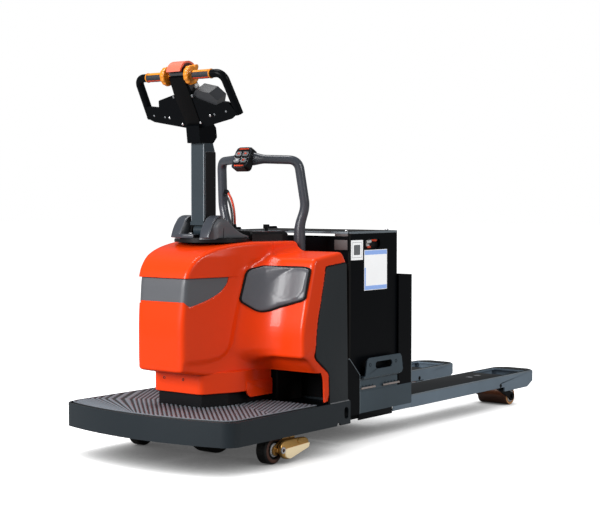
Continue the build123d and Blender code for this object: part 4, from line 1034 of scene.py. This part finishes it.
# ---- console, grab bar and pod ----------------------------------------------------------------
vents = []
for x, y in ((716 - 17 * k, 92 - 21 * k) for k in range(5)):
    path = np.linspace((x, y, console_top - 0.5), (x - 38, y + 26, console_top - 0.5), 12)
    vents.append(swept(path, 3.4, 3.4, 3.0, 12))
piece("console_ribs", vents, GLOSS_BLACK, "chassis", sharp=50)
# grey strips along the console's top edges: painted highlight
edge_line = rounded([(742, 165, console_top), (604, 165, console_top), (578, 110, console_top)], 12, 6)
edge = swept(edge_line, 2.0, 1.6, 2.0, 10)
piece("console_edge_highlights", both_sides(edge), BAR_GREY, "chassis", sharp=60)


def grab_bar():
    """Bar swept from foot to foot; its feet and the ends at the pod flare out."""
    half = [(777, -196, 752), (777, -196, 905), (782, -222, 985), (756, -206, 1174), (670, -30, 1180)]
    path = rounded(np.array(half + [(x, -y, z) for x, y, z in half[::-1]], float),
                   [0, 26, 26, 40, 30, 30, 40, 26, 26, 0], 5.0)
    z, y = path[:, 2], np.abs(path[:, 1])
    foot = 1 - ease(z, 850, 965)
    flare = (1 - ease(y, 30, 84)) * (z > 1100)
    wide = 18.0 + 4.5 * foot + 9.0 * flare
    tall = 18.5 + 4.0 * foot - 4.0 * flare
    piece("grab_bar_swept", [swept(path, wide, tall, 2.5, 32, (1, 0, 0))], BAR_GREY, "chassis",
          ["grab_bar"], 70)


grab_bar()

# the pod on the bar: u across it, v up its face, w out of it
pod_middle, pod_lean = (652, 0, 1181), math.radians(28)
pod_up, pod_out = (math.sin(pod_lean), 0, math.cos(pod_lean)), (-math.cos(pod_lean), 0, math.sin(pod_lean))
pod_face = on_plane(pod_middle, (0, -1, 0), pod_up, pod_out)
pod_line = outline_of([(-41, -30), (-26, -47), (26, -47), (41, -30),
                       (41, 30), (26, 47), (-26, 47), (-41, 30)], 5)
piece("pod_rim", [hollow(pod_line, 2.6, 9.5, 12.2, pod_face, 0.8)], BAR_GREY, "chassis")
strips = [plate(outline_of([(-27, s * 36), (27, s * 36), (22, s * 42), (-22, s * 42)], 2), 10.6, 12.4,
                pod_face, 0.6) for s in (1, -1)]
piece("pod_strips", strips, RED_STRIP, "chassis")
marks = [plate(outline_of([(u - 2, v - 2.2), (u + 2, v - 2.2), (u, v + 2.2)], 0.4), 10.8, 12.0,
               pod_face, 0.3) for u in (-34.5, 0.0, 34.5) for v in (-15, 0, 15)]
piece("pod_marks", marks, WHITE_MARK, "chassis")
arrow = np.array([(-7, -3), (1, -3), (7, 1), (1, 5), (-7, 5), (-2, 1)])
for number in range(1, 5):
    middle = [middle_of(f"pod_key_{number}", axis) for axis in range(3)]
    u, v, w = (np.dot(np.subtract(middle, pod_middle), way) for way in ((0, -1, 0), pod_up, pod_out))
    mark = plate(outline_of(arrow + np.array([u, v]), 0.8), w + 1.5, w + 3.8, pod_face, 0.4)
    piece(f"key_mark_{number}", [mark], RED_STRIP if number % 3 else WHITE_MARK, f"key_{number}")


# ---- turntable, ears and column ------------------------------------------------------------------
def turntable():
    """Stepped disc under the ears: its profile turned round the steering axis."""
    shape = np.concatenate([[(846.5, 0)], arc_profile(848.5, 147.5, 2.0, False), [(854.5, 149.5)],
                            arc_profile(855.5, 146.5, 3.0, True), [(858.5, 141)], [(859, 139.5)],
                            arc_profile(862, 136.5, 2.4, True), [(864.6, 120), (864.6, 0)]])
    piece("turntable_skin", [turned(shape, (steer_x, 0, 0), (0, 0, 1), 120)], GLOSS_BLACK, "steering",
          sharp=40)


turntable()
disc_radius = 146.5  # the ears stay inside the turntable's upper step
ear_line = outline_of([(322, 852), (330, 884), (348, 920), (372, 946), (400, 953), (436, 944), (474, 914),
                       (512, 884), (556, 868), (600, 862), (600, 852)],
                      [4, 20, 24, 24, 26, 26, 30, 40, 40, 3, 2], 6)


def ear(shares, widths, drop):
    """Ear: rings of its outline from the inner face round to the outer one, domed and kept on the disc."""
    middle = np.array([430.0, 884.0])
    rings = middle + (ear_line - middle)[None] * np.array(shares)[:, None, None]
    wide = np.array(widths, float)[:, None] + 0 * rings[..., 0]
    points = np.stack([rings[..., 0], -wide, rings[..., 1]], -1)
    points[..., 2] -= drop * ((wide - 48) / 64) ** 2 * ease(points[..., 2], 862, 930)
    pull = np.minimum(1, disc_radius / np.hypot(points[..., 0] - steer_x, points[..., 1]))
    points[..., 0] = steer_x + (points[..., 0] - steer_x) * pull
    points[..., 1] *= pull
    return points, capped(*points.shape[:2])


shares = [0.06, 0.5, 0.97, 1.0, 1.0, 1.0, 1.0, 1.0, 0.993, 0.975, 0.94, 0.86, 0.74, 0.6, 0.44, 0.28,
          0.12, 0.03]
widths = [50, 50, 50, 53, 62, 72, 82, 91, 98, 103.5, 107.5, 110.5, 111.6, 112, 112, 112, 112, 112]
piece("ear_shells", both_sides(ear(shares, widths, 16)), GREY_PLASTIC, "steering",
      ["tiller_ears"], 50)
front_edge = ear_line[(ear_line[:, 0] < 404) & (ear_line[:, 1] > 868)]
strip_path = np.stack([front_edge[:, 0] + 1.5, 0 * front_edge[:, 0] - 76, front_edge[:, 1] - 3.5], 1)
strip = swept(strip_path, 24, 4.2, 4.0, 24, (1, 0, 0.4))
piece("ear_front_strips", both_sides(strip), BAR_GREY, "steering", sharp=50)
seam_line = rounded([(398, -112.2, 866), (402, -111.5, 905), (420, -100, 944)], 16, 5)
piece("ear_seams", both_sides(swept(seam_line, 1.6, 1.6, 2.0, 10, (0, 1, 0))), BLACK_AND_PAINTED_SHADE, "steering")

# spring strut, pivot heads and the stop block between the ears
strut = [turned(drum(0, 14, 7.5, 1.5), (348, 14, 866), (0.1, 0, 1), 24),
         turned(drum(0, 9, 11, 1.5), (348, 14, 864), (0.1, 0, 1), 24),
         turned(drum(-8, 8, 5.5, 1), (349, 14, 879), (0, 1, 0), 20)]
piece("return_spring", strut, BOLT_STEEL, "steering")
heads = [hex_nut((407, s * 46.6, 892), (0, s, 0), 11, 5) for s in (-1, 1)]
heads += [bolt((x, s * 46.6, z), (0, s, 0), 5.5, 3.5) for s in (-1, 1) for x, z in ((392, 874), (424, 874))]
piece("pivot_heads", heads, BOLT_STEEL, "steering")
stop_line = outline_of([(312, 28), (318, 74), (352, 80), (362, 28), (352, -28), (318, -28)], 5)
stop = plate(stop_line, 862, 879, plan, 4)
piece("stop_block", [stop], BAR_GREY, "steering", sharp=30)

# painted highlight on the column's front corners, and the frames round its side inserts
edge = swept(np.linspace((374.0, -32.3, 930), (374.0, -32.3, 1232), 40), 1.8, 1.8, 2.0, 10, (1, 0, 0))
piece("column_edge_highlights", both_sides(edge), PAINTED_COLUMN_HIGHLIGHT, "tiller")
insert_frame = hollow(oblong(381, 443, 929, 1203, 7, 6), 2.2, 32.4, 35.4, side_right, 0.7)
piece("insert_frames", both_sides(insert_frame), FRAME_GREY, "tiller")


# ---- head ------------------------------------------------------------------------------------------
# a across the head's front face, s up it, w out of it
head_up, head_out = (-0.4955, 0, 0.8686), (-0.8686, 0, -0.4955)
head_face = on_plane((362, 0, 1295), (0, -1, 0), head_up, head_out)
silver = [(-114.5, 49.2), (-57.5, 19.1), (38.0, 21.8), (100.5, 50.6)]
dull = [(-192.9, 61.6), (-137.8, 52.3), (-14.1, 18.5), (124.4, 54.2), (187.0, 64.5)]
bolts = [bolt(head_face((a, s, 0.2)), head_out, 5.6, 3.2) for a, s in silver]
piece("head_bolts", bolts, BOLT_STEEL, "tiller")
rivets = [bolt(head_face((a, s, 0.2)), head_out, 4.2, 1.6) for a, s in dull]
piece("head_rivets", rivets, GALVANISED, "tiller")
cover = outline_of([(-37, 2), (36, 2), (40, 132), (37, 219), (-37, 219), (-44, 142)], 4)
piece("head_cover", [plate(cover, 0, 3.2, head_face, 1.6)], PLATE_BLACK, "tiller", sharp=30)
clips = [plate(oblong(a - 3.5, a + 3.5, 134, 145, 1.5), 0, 6, head_face, 1.2) for a in (-49, 49)]
piece("head_clips", clips, GALVANISED, "tiller")


def thumb_wheel(side):
    """Scalloped wheel: radius times 1 − 0.06·sin² 6t, domed on its outer face, with a finger tab."""
    angle = np.linspace(0, 2 * math.pi, 96, endpoint=False)
    scallop = 1 - 0.06 * np.sin(6 * angle) ** 2
    shape = np.array([(50.5, 9.5), (50.5, 30), (50.9, 34.5), (53, 37), (57, 38), (66, 38), (70, 36.6),
                      (72.3, 33.5), (72.9, 29), (71.2, 25), (71.0, 20), (73.0, 17), (75.0, 13), (75.4, 9.5)])
    radius = shape[:, 1:] * np.where(shape[:, 1:] > 26, scallop[None], 1.0)
    points = np.stack([grip_x + radius * np.cos(angle), side * shape[:, :1] + 0 * radius,
                       grip_z + radius * np.sin(angle)], -1)
    spot, _, _ = of_side(side)
    tab = plate(outline_of([(grip_x + 8, grip_z + 24), (grip_x + 26, grip_z + 12), (grip_x + 35, grip_z + 34),
                            (grip_x + 30, grip_z + 43), (grip_x + 14, grip_z + 41)], 4), 53, 71, spot, 2.5)
    return [(points, capped(*radius.shape)), tab]


wheels = thumb_wheel(-1) + thumb_wheel(1)
wheels.append(turned(drum(-87, 87, 8.8, 1), (grip_x, 0, grip_z), (0, 1, 0), 32))
piece("thumb_wheels_moulded", wheels, YELLOW, "thumb", ["thumb_wheels"], 40)


def grip(side):
    """Hand grip: ribbed sleeve round the bar."""
    shape = np.array([(77, 9.4), (77, 15.5), (79, 17), (84, 17.3), (120, 17.8), (158, 17.3), (162, 16.8),
                      (166, 16.2), (167.5, 14), (167.5, 9.4)])
    dense = np.concatenate([np.linspace(a, b, 6, endpoint=False) for a, b in zip(shape[:-1], shape[1:])]
                           + [shape[-1:]])
    dense[:, 1] += np.where((dense[:, 0] > 84) & (dense[:, 0] < 158), 0.25 * np.cos(dense[:, 0] * 1.26), 0)
    return turned_ring(dense, (grip_x, 0, grip_z), (0, side, 0), 40)


def grip_stripe(side, start, end, radius):
    """Bent strip along the grip: radius + 0.9 between two angles, its edges run into the sleeve."""
    angle = np.radians(np.concatenate([[start - 1], np.linspace(start, end, 14), [end + 1]]))
    height = np.concatenate([[-1.5], np.full(14, 0.9), [-1.5]])
    along = np.array([79.5, 81, 100, 120, 140, 158, 159.5])
    fall = np.array([-1.5, 0, 0, 0, 0, 0, -1.5])
    r = radius + height[None] + fall[:, None]
    both = [np.stack([grip_x - radii * np.cos(angle), side * along[:, None] + 0 * r,
                      grip_z + radii * np.sin(angle)], -1) for radii in (r, 14 + 0 * r)]
    return np.stack(both), backed(*r.shape)


piece("grips_ribbed", [grip(-1), grip(1)], GRIP_SKIN, "tiller",
      ["grip_right", "grip_left"], 50)
piece("grip_stripes", [grip_stripe(s, 28, 70, 17.4) for s in (-1, 1)], YELLOW, "tiller")
piece("grip_underlines", [grip_stripe(s, -62, -46, 17.4) for s in (-1, 1)], RED_STRIP, "tiller")
collar = [(162, 14), (162, 17.5), (163, 18.9), (167, 18.9), (168, 17.5), (168, 14)]
rings = [turned_ring(collar, (grip_x, 0, grip_z), (0, s, 0), 40) for s in (-1, 1)]
piece("grip_rings", rings, YELLOW, "tiller")


# ---- battery case: lid edge highlight, labels, plug, strap and painted shade at its front corners ---
# pale strip round the lid's edges: painted highlight
lid_highlight_path = [(931, 290, 876), (929.2, -334.4, 876), (1287, -334.4, 876), (1287, 290, 876)]
rim = swept(rounded(lid_highlight_path, 3, 12.0), 1.6, 4.6, 5.0, 14)
piece("lid_edge_highlight", [rim], PAINTED_EDGE_HIGHLIGHT, "lid", sharp=50)
lid_sheet = plate(oblong(934, 1283, -329, 318, 6), 879.6, 881.2, plan, 0.6)
piece("lid_sheet", [lid_sheet], BLACK_STEEL, "lid", sharp=30)
pulls = [turned([(0, 8), (3, 8), (6, 5), (6, 0)], (x, -300, 881), (0, 0, 1), 24) for x in (960, 1256)]
piece("lid_fixings", pulls, BOLT_STEEL, "lid")


def card(x0, x1, z0, z1, low, high, corner=1.5):
    """Thin card on the case's right side, between two heights over its face."""
    return plate(oblong(x0, x1, z0, z1, corner), case_side + low, case_side + high, side_right, 0.15)


piece("label_small", [card(946, 1031, 762, 844.5, -0.3, 0.6)], LABEL_WHITE_PAINTED_LIGHT, "lift_frame")
label_frame = hollow(oblong(954, 1023, 772, 836, 1), 1.5, case_side + 0.4, case_side + 0.9, side_right, 0.2)
piece("label_small_frame", [label_frame, card(966, 1011, 783, 825, 0.3, 0.8, 3)], PALE_GREY, "lift_frame")
piece("label_large", [card(1041, 1209, 632, 801.5, -0.3, 0.6)], LABEL_WHITE_PAINTED_LIGHT, "lift_frame")
bands = [card(1043, 1207, 781, 799.5, 0.3, 0.9), card(1043, 1207, 634, 651, 0.3, 0.9),
         card(1043, 1052, 651, 728, 0.3, 0.9), card(1060, 1194, 640, 644, 0.3, 1.1, 0.5)]
piece("label_large_bands", bands, LABEL_BLUE_PAINTED_LIGHT, "lift_frame")
# black strip at the case's front corners: painted shade where the case's front stands back from the lid
front_gap_shade = plate(oblong(case_front - 0.5, case_front + 14, 213, 874, 1.5), 330, case_side + 0.9, side_right, 0.6)
piece("case_front_gap_shades", both_sides(front_gap_shade), BLACK_AND_PAINTED_SHADE, "lift_frame")


def strap(z0, z1, out):
    """Folded strap on the front of the case near its corner."""
    return plate(oblong(-331, -264, z0, z1, 2.5), 0.4 - case_front, out - case_front, across, 1.0)


straps = both_sides(strap(849, 872, 3.4), strap(805, 846.5, 6.0))
piece("case_straps", straps, STRAP, "lift_frame")
plug = [turned(drum(0, 34, 7, 1.6), (1062, -326.5, 834), (1, 0, 0.10), 20),
        turned(drum(0, 20, 5, 1.2), (1060, -327.5, 822), (1, 0, -0.1), 16)]
piece("plug_white", plug, WHITE_MARK, "lift_frame")
plug_ends = [turned(drum(0, 26, 5.5, 1.5), (1064, -328, 813.5), (1, 0, 0), 16),
             turned(drum(0, 36, 5, 1.5), (1100, -327, 842), (1, 0, -0.06), 16)]
piece("plug_red", plug_ends, RED_STRIP, "lift_frame")


# ---- load plate, gussets, weld beads and retainers -------------------------------------------------
# pale strips along the load plate's edges and the gussets' edges: painted highlight
edge = swept(np.linspace((1388, -341, 212), (1388, -341, 686), 40), 2.4, 2.4, 2.0, 10, (1, 0, 0))
piece("load_plate_edge_highlights", both_sides(edge), PAINTED_EDGE_HIGHLIGHT, "lift_frame", sharp=60)
gusset_line = rounded([(903, 358.4), (911, 358.4), (985, 284), (985, 122)], 3, 6)
gusset_path = np.stack([gusset_line[:, 0], 0 * gusset_line[:, 0] - 351.6, gusset_line[:, 1]], 1)
piece("gusset_edge_highlights", both_sides(swept(gusset_path, 1.9, 1.9, 2.0, 10, (0, 1, 0))), PAINTED_EDGE_HIGHLIGHT, "chassis",
      sharp=60)


def retainer_fittings(side):
    """Flap details: two black eyelets beside the slot, painted shade for holes, a crease with a painted
    highlight, two hinge bars with their pins.
    """
    _, name, letter = of_side(side)
    name, body, out = "retainer_" + name, "retainer_" + letter, (0, side, 0)
    eyelet = [(-0.6, 7.5), (0.5, 7.5), (0.5, 5.5), (-0.2, 5.5), (-0.2, 0)]
    # black eyelets: painted shade where holes would be
    hole_shades = [turned(eyelet, (x, side * 364.5, 322), out, 20) for x in (1042.5, 1235)]
    piece(name + "_hole_shades", hole_shades, BLACK_AND_PAINTED_SHADE, body)
    crease = swept(np.linspace((997, side * 357.0, 266), (1276, side * 357.0, 266), 24), 2.6, 1.6, 2.0, 10)
    bars = [swept(np.linspace((x0, side * 350.0, 225), (x1, side * 350.0, 225), 20), 3.2, 4.2, 3.0, 12)
            for x0, x1 in ((998, 1100), (1160, 1280))]
    piece(name + "_bars", bars, BAR_TAN, body, sharp=50)
    # the crease's pale strip: painted highlight
    piece(name + "_crease_highlight", [crease], PAINTED_EDGE_HIGHLIGHT, body, sharp=60)
    pins = [turned(drum(0, 2.5, 2.6, 0.6), (start + 24 * k, side * 349.0, 234), out, 12)
            for start, count in ((1008, 4), (1172, 5)) for k in range(count)]
    piece(name + "_pins", pins, BLACK_AND_PAINTED_SHADE, body)


retainer_fittings(-1)
retainer_fittings(1)

# uneven weld beads between the skirt and the wall
along = np.linspace(662, 787, 90)
bead = np.stack([along, -438.6 + 0.4 * np.sin(along * 1.9), 209.5 + 0.9 * np.sin(along * 1.3)], 1)
thick = 2.4 + 0.7 * np.sin(along * 0.9) * np.sin(along * 2.3)
piece("weld_beads", both_sides(swept(bead, thick, thick, 2.0, 10)), WELD, "chassis", sharp=60)


# ---- forks ----------------------------------------------------------------------------------------
open_from, open_to = 2236, 2454  # the opening over the load roller


def fork_trim(side):
    """Rolled edge round one fork, pale as a painted highlight, and dark sheets on its top, painted shade with
    scuffs, which leave its opening free.
    """
    rim_line = [(1394, side * (fork_out - 2.4)), (tip_x - 46, side * (fork_out - 2.4)),
                (tip_x - 2, side * (fork_out - 47)), (tip_x - 2, side * (fork_in + 47)),
                (tip_x - 46, side * (fork_in + 2.4)), (1394, side * (fork_in + 2.4))]
    line = rounded(rim_line, 14, 8.0)
    path = np.column_stack([line, np.full(len(line), deck_z - 1.7)])
    a, b = side * (fork_out - 9), side * (fork_in + 8)
    open_out, open_in = side * 320.0, side * 147.0
    tip = [(open_to, a), (tip_x - 48, a), (tip_x - 8, side * (fork_out - 50)),
           (tip_x - 8, side * (fork_in + 50)), (tip_x - 48, b), (open_to, b)]
    lines = [oblong(1393, open_from, a, b, 0.6, 3), oblong(open_from, open_to, a, open_out, 0.6, 3),
             oblong(open_from, open_to, open_in, b, 0.6, 3), outline_of(tip, 0.6, 3)]
    sheets = [plate(line, deck_z, deck_z + 0.9, plan, 0.2) for line in lines]
    return swept(path, 3.0, 3.0, 2.6, 14), sheets


trims = [fork_trim(side) for side in (-1, 1)]
piece("fork_edge_highlights", [rim for rim, _ in trims], PAINTED_EDGE_HIGHLIGHT, "lift_frame", sharp=60)
piece("fork_top_shade_sheets", [sheet for _, sheets in trims for sheet in sheets], FORK_TOP_SHADE, "lift_frame")
plug_outline = np.array([(0, -16), (26, -12), (26, 12), (0, 16)])
plugs = [plate(outline_of(plug_outline + np.array([x, s * (fork_out + fork_in) / 2]), 4), deck_z + 0.2,
               deck_z + 1.6, plan, 0.5) for x in (2052, 2128) for s in (-1, 1)]
piece("fork_plugs", plugs, GALVANISED, "lift_frame")
root_line = outline_of([(1243, 100), (1392, 100), (1392, 122), (1250, 122)], 2)
root = plate(root_line, 337.5, 342.2, side_right, 1.0)
piece("fork_roots", both_sides(root), FORK_SLATE_PAINTED_LIGHT, "lift_frame")
sill = plate(oblong(994, 1243, 92, 121, 2), 334, 340, side_right, 1.0)
piece("carriage_sills", both_sides(sill), BLACK_STEEL, "lift_frame")


# ---- rollers and casters ----------------------------------------------------------------------------
roller_x, roller_z = middle_of("load_roller_left", 0), middle_of("load_roller_left", 2)
roller_in, roller_out = behind("load_roller_left", 0, 1), behind("load_roller_left", 1, 1)
caster_x, caster_z = middle_of("caster_wheel_left", 0), middle_of("caster_wheel_left", 2)
caster_out = behind("caster_wheel_left", 1, 1)
roller_rim = [(-0.6, 41.6), (1.0, 40.6), (2.2, 37), (1.0, 33), (-0.6, 32.4)]
roller_washer = [(-0.6, 29), (1.2, 28), (1.6, 24), (0.6, 22), (-0.6, 21.6)]
for side in (-1, 1):
    _, name, letter = of_side(side)
    faces = [((roller_x, side * y, roller_z), (0, way, 0))
             for y, way in ((roller_out, side), (roller_in, -side))]
    rims = [turned_ring(roller_rim, centre, out, 64) for centre, out in faces]
    piece(f"load_rims_{name}", rims, ORANGE_RIM, f"roller_{letter}", sharp=40)
    washers = [turned_ring(roller_washer, centre, out, 48) for centre, out in faces]
    piece(f"load_washers_{name}", washers, RING_WHITE, f"roller_{letter}", sharp=40)


def caster_fittings(side):
    """Bracket outside a caster: gold block, cream side plate that glows as painted light, washer, bolts;
    rings on the wheel.
    """
    spot, name, letter = of_side(side)
    arm, wheel, out = f"caster_arm_{letter}", f"caster_{letter}", (0, side, 0)
    block_line = outline_of([(404, 38), (398, 58), (402, 76), (418, 87), (440, 92), (497, 92), (560, 89),
                             (577, 80), (577, 66), (570, 48), (448, 17), (422, 22)],
                            [10, 12, 10, 12, 12, 12, 10, 8, 5, 8, 10, 10])
    points, faces = plate(block_line, 383, 401, spot, 5)
    lean = np.clip((points[:, 2] - 62) / 34, 0, 1)
    points[:, 1] -= side * 12 * lean * (np.abs(points[:, 1]) > 392)
    piece(f"caster_block_{name}", [(points, faces)], ZINC_GOLD, arm, sharp=40)
    side_line = outline_of([(424, 30), (420, 46), (428, 60), (573, 66), (568, 49), (449, 19)],
                           [8, 8, 4, 4, 5, 8])
    piece(f"caster_plate_{name}", [plate(side_line, 400, 406, spot, 1.2)], CREAM_PAINTED_LIGHT, arm)
    washer_profile = [(0, 13), (2.5, 13), (4, 11.5), (4, 7.5), (2, 7), (2, 0)]
    washer = turned(washer_profile, (411, side * 400.5, 56), out, 32)
    piece(f"caster_washer_{name}", [washer], RING_WHITE, arm)
    stud = turned([(0, 6.2), (2.6, 6), (4.4, 4.4), (4.4, 0)], (411, side * 402.5, 56), out, 20)
    piece(f"caster_bolts_{name}", [stud], BROWN_RIM, arm)
    head = turned([(0, 9), (3, 9), (5, 6.5), (5.6, 0)], (516, side * 394, 78), (0, side * 0.9, 0.42), 28)
    axle = turned(drum(363, 386, 9, 1.5), (caster_x, 0, caster_z), out, 28)
    piece(f"caster_heads_{name}", [head, axle], ZINC_GOLD, arm)
    face = (caster_x, side * caster_out, caster_z)
    rim = turned_ring([(-0.8, 50), (1.4, 49), (2.6, 46), (2.6, 39), (0.8, 36), (-0.8, 35.6)], face, out, 64)
    piece(f"caster_rims_{name}", [rim], BROWN_RIM, wheel)
    hub = turned_ring([(-0.8, 27), (2.4, 26), (3.2, 22), (2, 19), (-0.8, 18.6)], face, out, 48)
    piece(f"caster_rings_{name}", [hub], RING_WHITE, wheel)


caster_fittings(-1)
caster_fittings(1)

# six nuts on each side of the drive wheel
drive_z, nut_circle = middle_of("drive_tyre", 2), 50
nuts = [hex_nut((steer_x + nut_circle * math.cos(a), s * 39.6, drive_z + nut_circle * math.sin(a)),
                (0, s, 0), 9, 2.4) for a in np.linspace(0, 2 * math.pi, 6, endpoint=False) for s in (-1, 1)]
piece("drive_wheel_nuts", nuts, BOLT_STEEL, "drive_wheel")


# ---- softened edges on the CAD nodes that stay -------------------------------------------------------
def soften(names, width):
    """Small round on the corners of flat steel nodes, so that they catch the light."""
    for name in names:
        weld = nodes[name].modifiers.new("join", "WELD")
        weld.merge_threshold = 2e-5
        edge = nodes[name].modifiers.new("edge", "BEVEL")
        edge.width, edge.segments, edge.limit_method = width * MM, 2, "ANGLE"
        edge.angle_limit = math.radians(50)
        edge.use_clamp_overlap = True
        edge.harden_normals = True


soften(["fork_right", "fork_left", "fork_carriage", "retainer_right", "retainer_left"], 1.6)
soften(["load_back", "power_unit", "carriage_base"], 1.2)


# ---- materials on the CAD nodes that stay ------------------------------------------------
CAD_FINISH = {"platform_skirt": ANTHRACITE, "head_housing": HOUSING_DARK}
CAD_FINISH.update(dict.fromkeys(("fork_carriage", "retainer_right", "retainer_left"), SLATE_PALE))
CAD_FINISH.update(fork_right=FORK_SLATE_PAINTED_LIGHT, fork_left=FORK_SLATE_PAINTED_LIGHT)
SLOT_FINISH = {
    "skirt_paint": ANTHRACITE, "slate_paint": SLATE, "black_paint": BLACK_STEEL, "cast_black": PLATE_BLACK,
    "orange_shell": ORANGE, "grey_plastic": GREY_PLASTIC, "black_plastic": BLACK_PLASTIC,
    "mat_rubber": MAT_RUBBER_PAINTED_SHADE, "pad_foam": PAD_SKIN, "black_tyre": RUBBER, "amber_roller": AMBER,
    "zinc_steel": ZINC_GOLD, "link_steel": BLACK_STEEL, "hub_iron": PLATE_BLACK, "wheel_yellow": YELLOW,
    "cap_red": RED_CAP, "key_grey": PALE_GREY, "knob_white": WHITE_MARK, "grip_rubber": GRIP_SKIN,
    "cable_skin": CABLE_BLACK,
}
slots = {part["node"]: part["material_slot"] for part in frame["record"]["subparts"]}
for name, node in nodes.items():
    finish = CAD_FINISH.get(name) or SLOT_FINISH.get(slots.get(name), BLACK_STEEL)
    node.data.materials.clear()
    node.data.materials.append(finish)


# ---- floor and light -----------------------------------------------------------------------
def floor():
    """Wide white sheet under the wheels, white to the camera, that keeps the truck's shadow."""
    u, v = np.meshgrid(np.linspace(-40, 40, 9), np.linspace(-40, 40, 9), indexing="ij")
    mesh = bpy.data.meshes.new("floor")
    mesh.from_pydata(np.stack([u, v, 0 * u - 0.0005], -1).reshape(-1, 3), [], quads(9, 9))
    sheet = linked(mesh)
    material = bpy.data.materials.new("floor_white")
    material.use_nodes = True
    tree = material.node_tree
    shader = tree.nodes["Principled BSDF"]
    shader.inputs["Roughness"].default_value = 0.9
    shader.inputs["Specular IOR Level"].default_value = 0.1
    shader.inputs["Emission Color"].default_value = (1, 1, 1, 1)
    ray = tree.nodes.new("ShaderNodeLightPath")
    tint = add(tree, "ShaderNodeMix", {"data_type": "RGBA"}, i0=ray.outputs["Is Camera Ray"],
               i6=(0.22, 0.22, 0.22, 1), i7=(0.85, 0.85, 0.85, 1))
    # the nearer the truck, the darker the sheet: a wide soft shadow that the lamps alone don't give
    near = add(tree, "ShaderNodeAmbientOcclusion", {"samples": 16}, Distance=0.45)
    shade = add(tree, "ShaderNodeMapRange", {"interpolation_type": "SMOOTHSTEP"}, Value=near.outputs["AO"])
    shade.inputs["From Min"].default_value = -0.12
    shade.inputs["From Max"].default_value = 0.93
    toned = add(tree, "ShaderNodeVectorMath", {"operation": "SCALE"}, i0=tint.outputs[2])
    tree.links.new(shade.outputs[0], toned.inputs["Scale"])
    tree.links.new(toned.outputs[0], shader.inputs["Base Color"])
    seen = add(tree, "ShaderNodeMath", {"operation": "MULTIPLY_ADD"}, i0=ray.outputs["Is Glossy Ray"],
               i1=0.22, i2=ray.outputs["Is Camera Ray"])
    glow = add(tree, "ShaderNodeMath", {"operation": "MULTIPLY"}, i0=seen.outputs[0], i1=shade.outputs[0])
    tree.links.new(glow.outputs[0], shader.inputs["Emission Strength"])
    mesh.materials.append(material)


def lamp(name, where, aim, size, power):
    """Soft square white lamp at where, turned to aim."""
    data = bpy.data.lights.new(name, "AREA")
    data.shape, data.size, data.energy = "SQUARE", size, power
    made = bpy.data.objects.new(name, data)
    made.location = where
    made.rotation_euler = (Vector(aim) - Vector(where)).to_track_quat("-Z", "Y").to_euler()
    scene.collection.objects.link(made)


def world():
    """Plain pale surroundings: white to the camera, softer on the object."""
    made = bpy.data.worlds.new("studio")
    scene.world = made
    made.use_nodes = True
    tree = made.node_tree
    background = tree.nodes["Background"]
    ray = tree.nodes.new("ShaderNodeLightPath")
    background.inputs["Color"].default_value = (1, 1, 1, 1)
    strength = add(tree, "ShaderNodeMapRange", Value=ray.outputs["Is Camera Ray"])
    strength.inputs["To Min"].default_value = 0.2
    strength.inputs["To Max"].default_value = 1.0
    tree.links.new(strength.outputs[0], background.inputs["Strength"])


floor()
world()
lamp("front_lamp", (-6.0, 1.2, 2.6), (-0.5, 0, 0.6), 2.4, 330)
lamp("side_lamp", (0.5, -6.0, 3.0), (0.2, 0, 0.5), 2.0, 145)
lamp("top_lamp", (-1.0, 1.0, 5.5), (-0.2, 0, 0.4), 2.4, 150)
scene.view_settings.view_transform = "Standard"
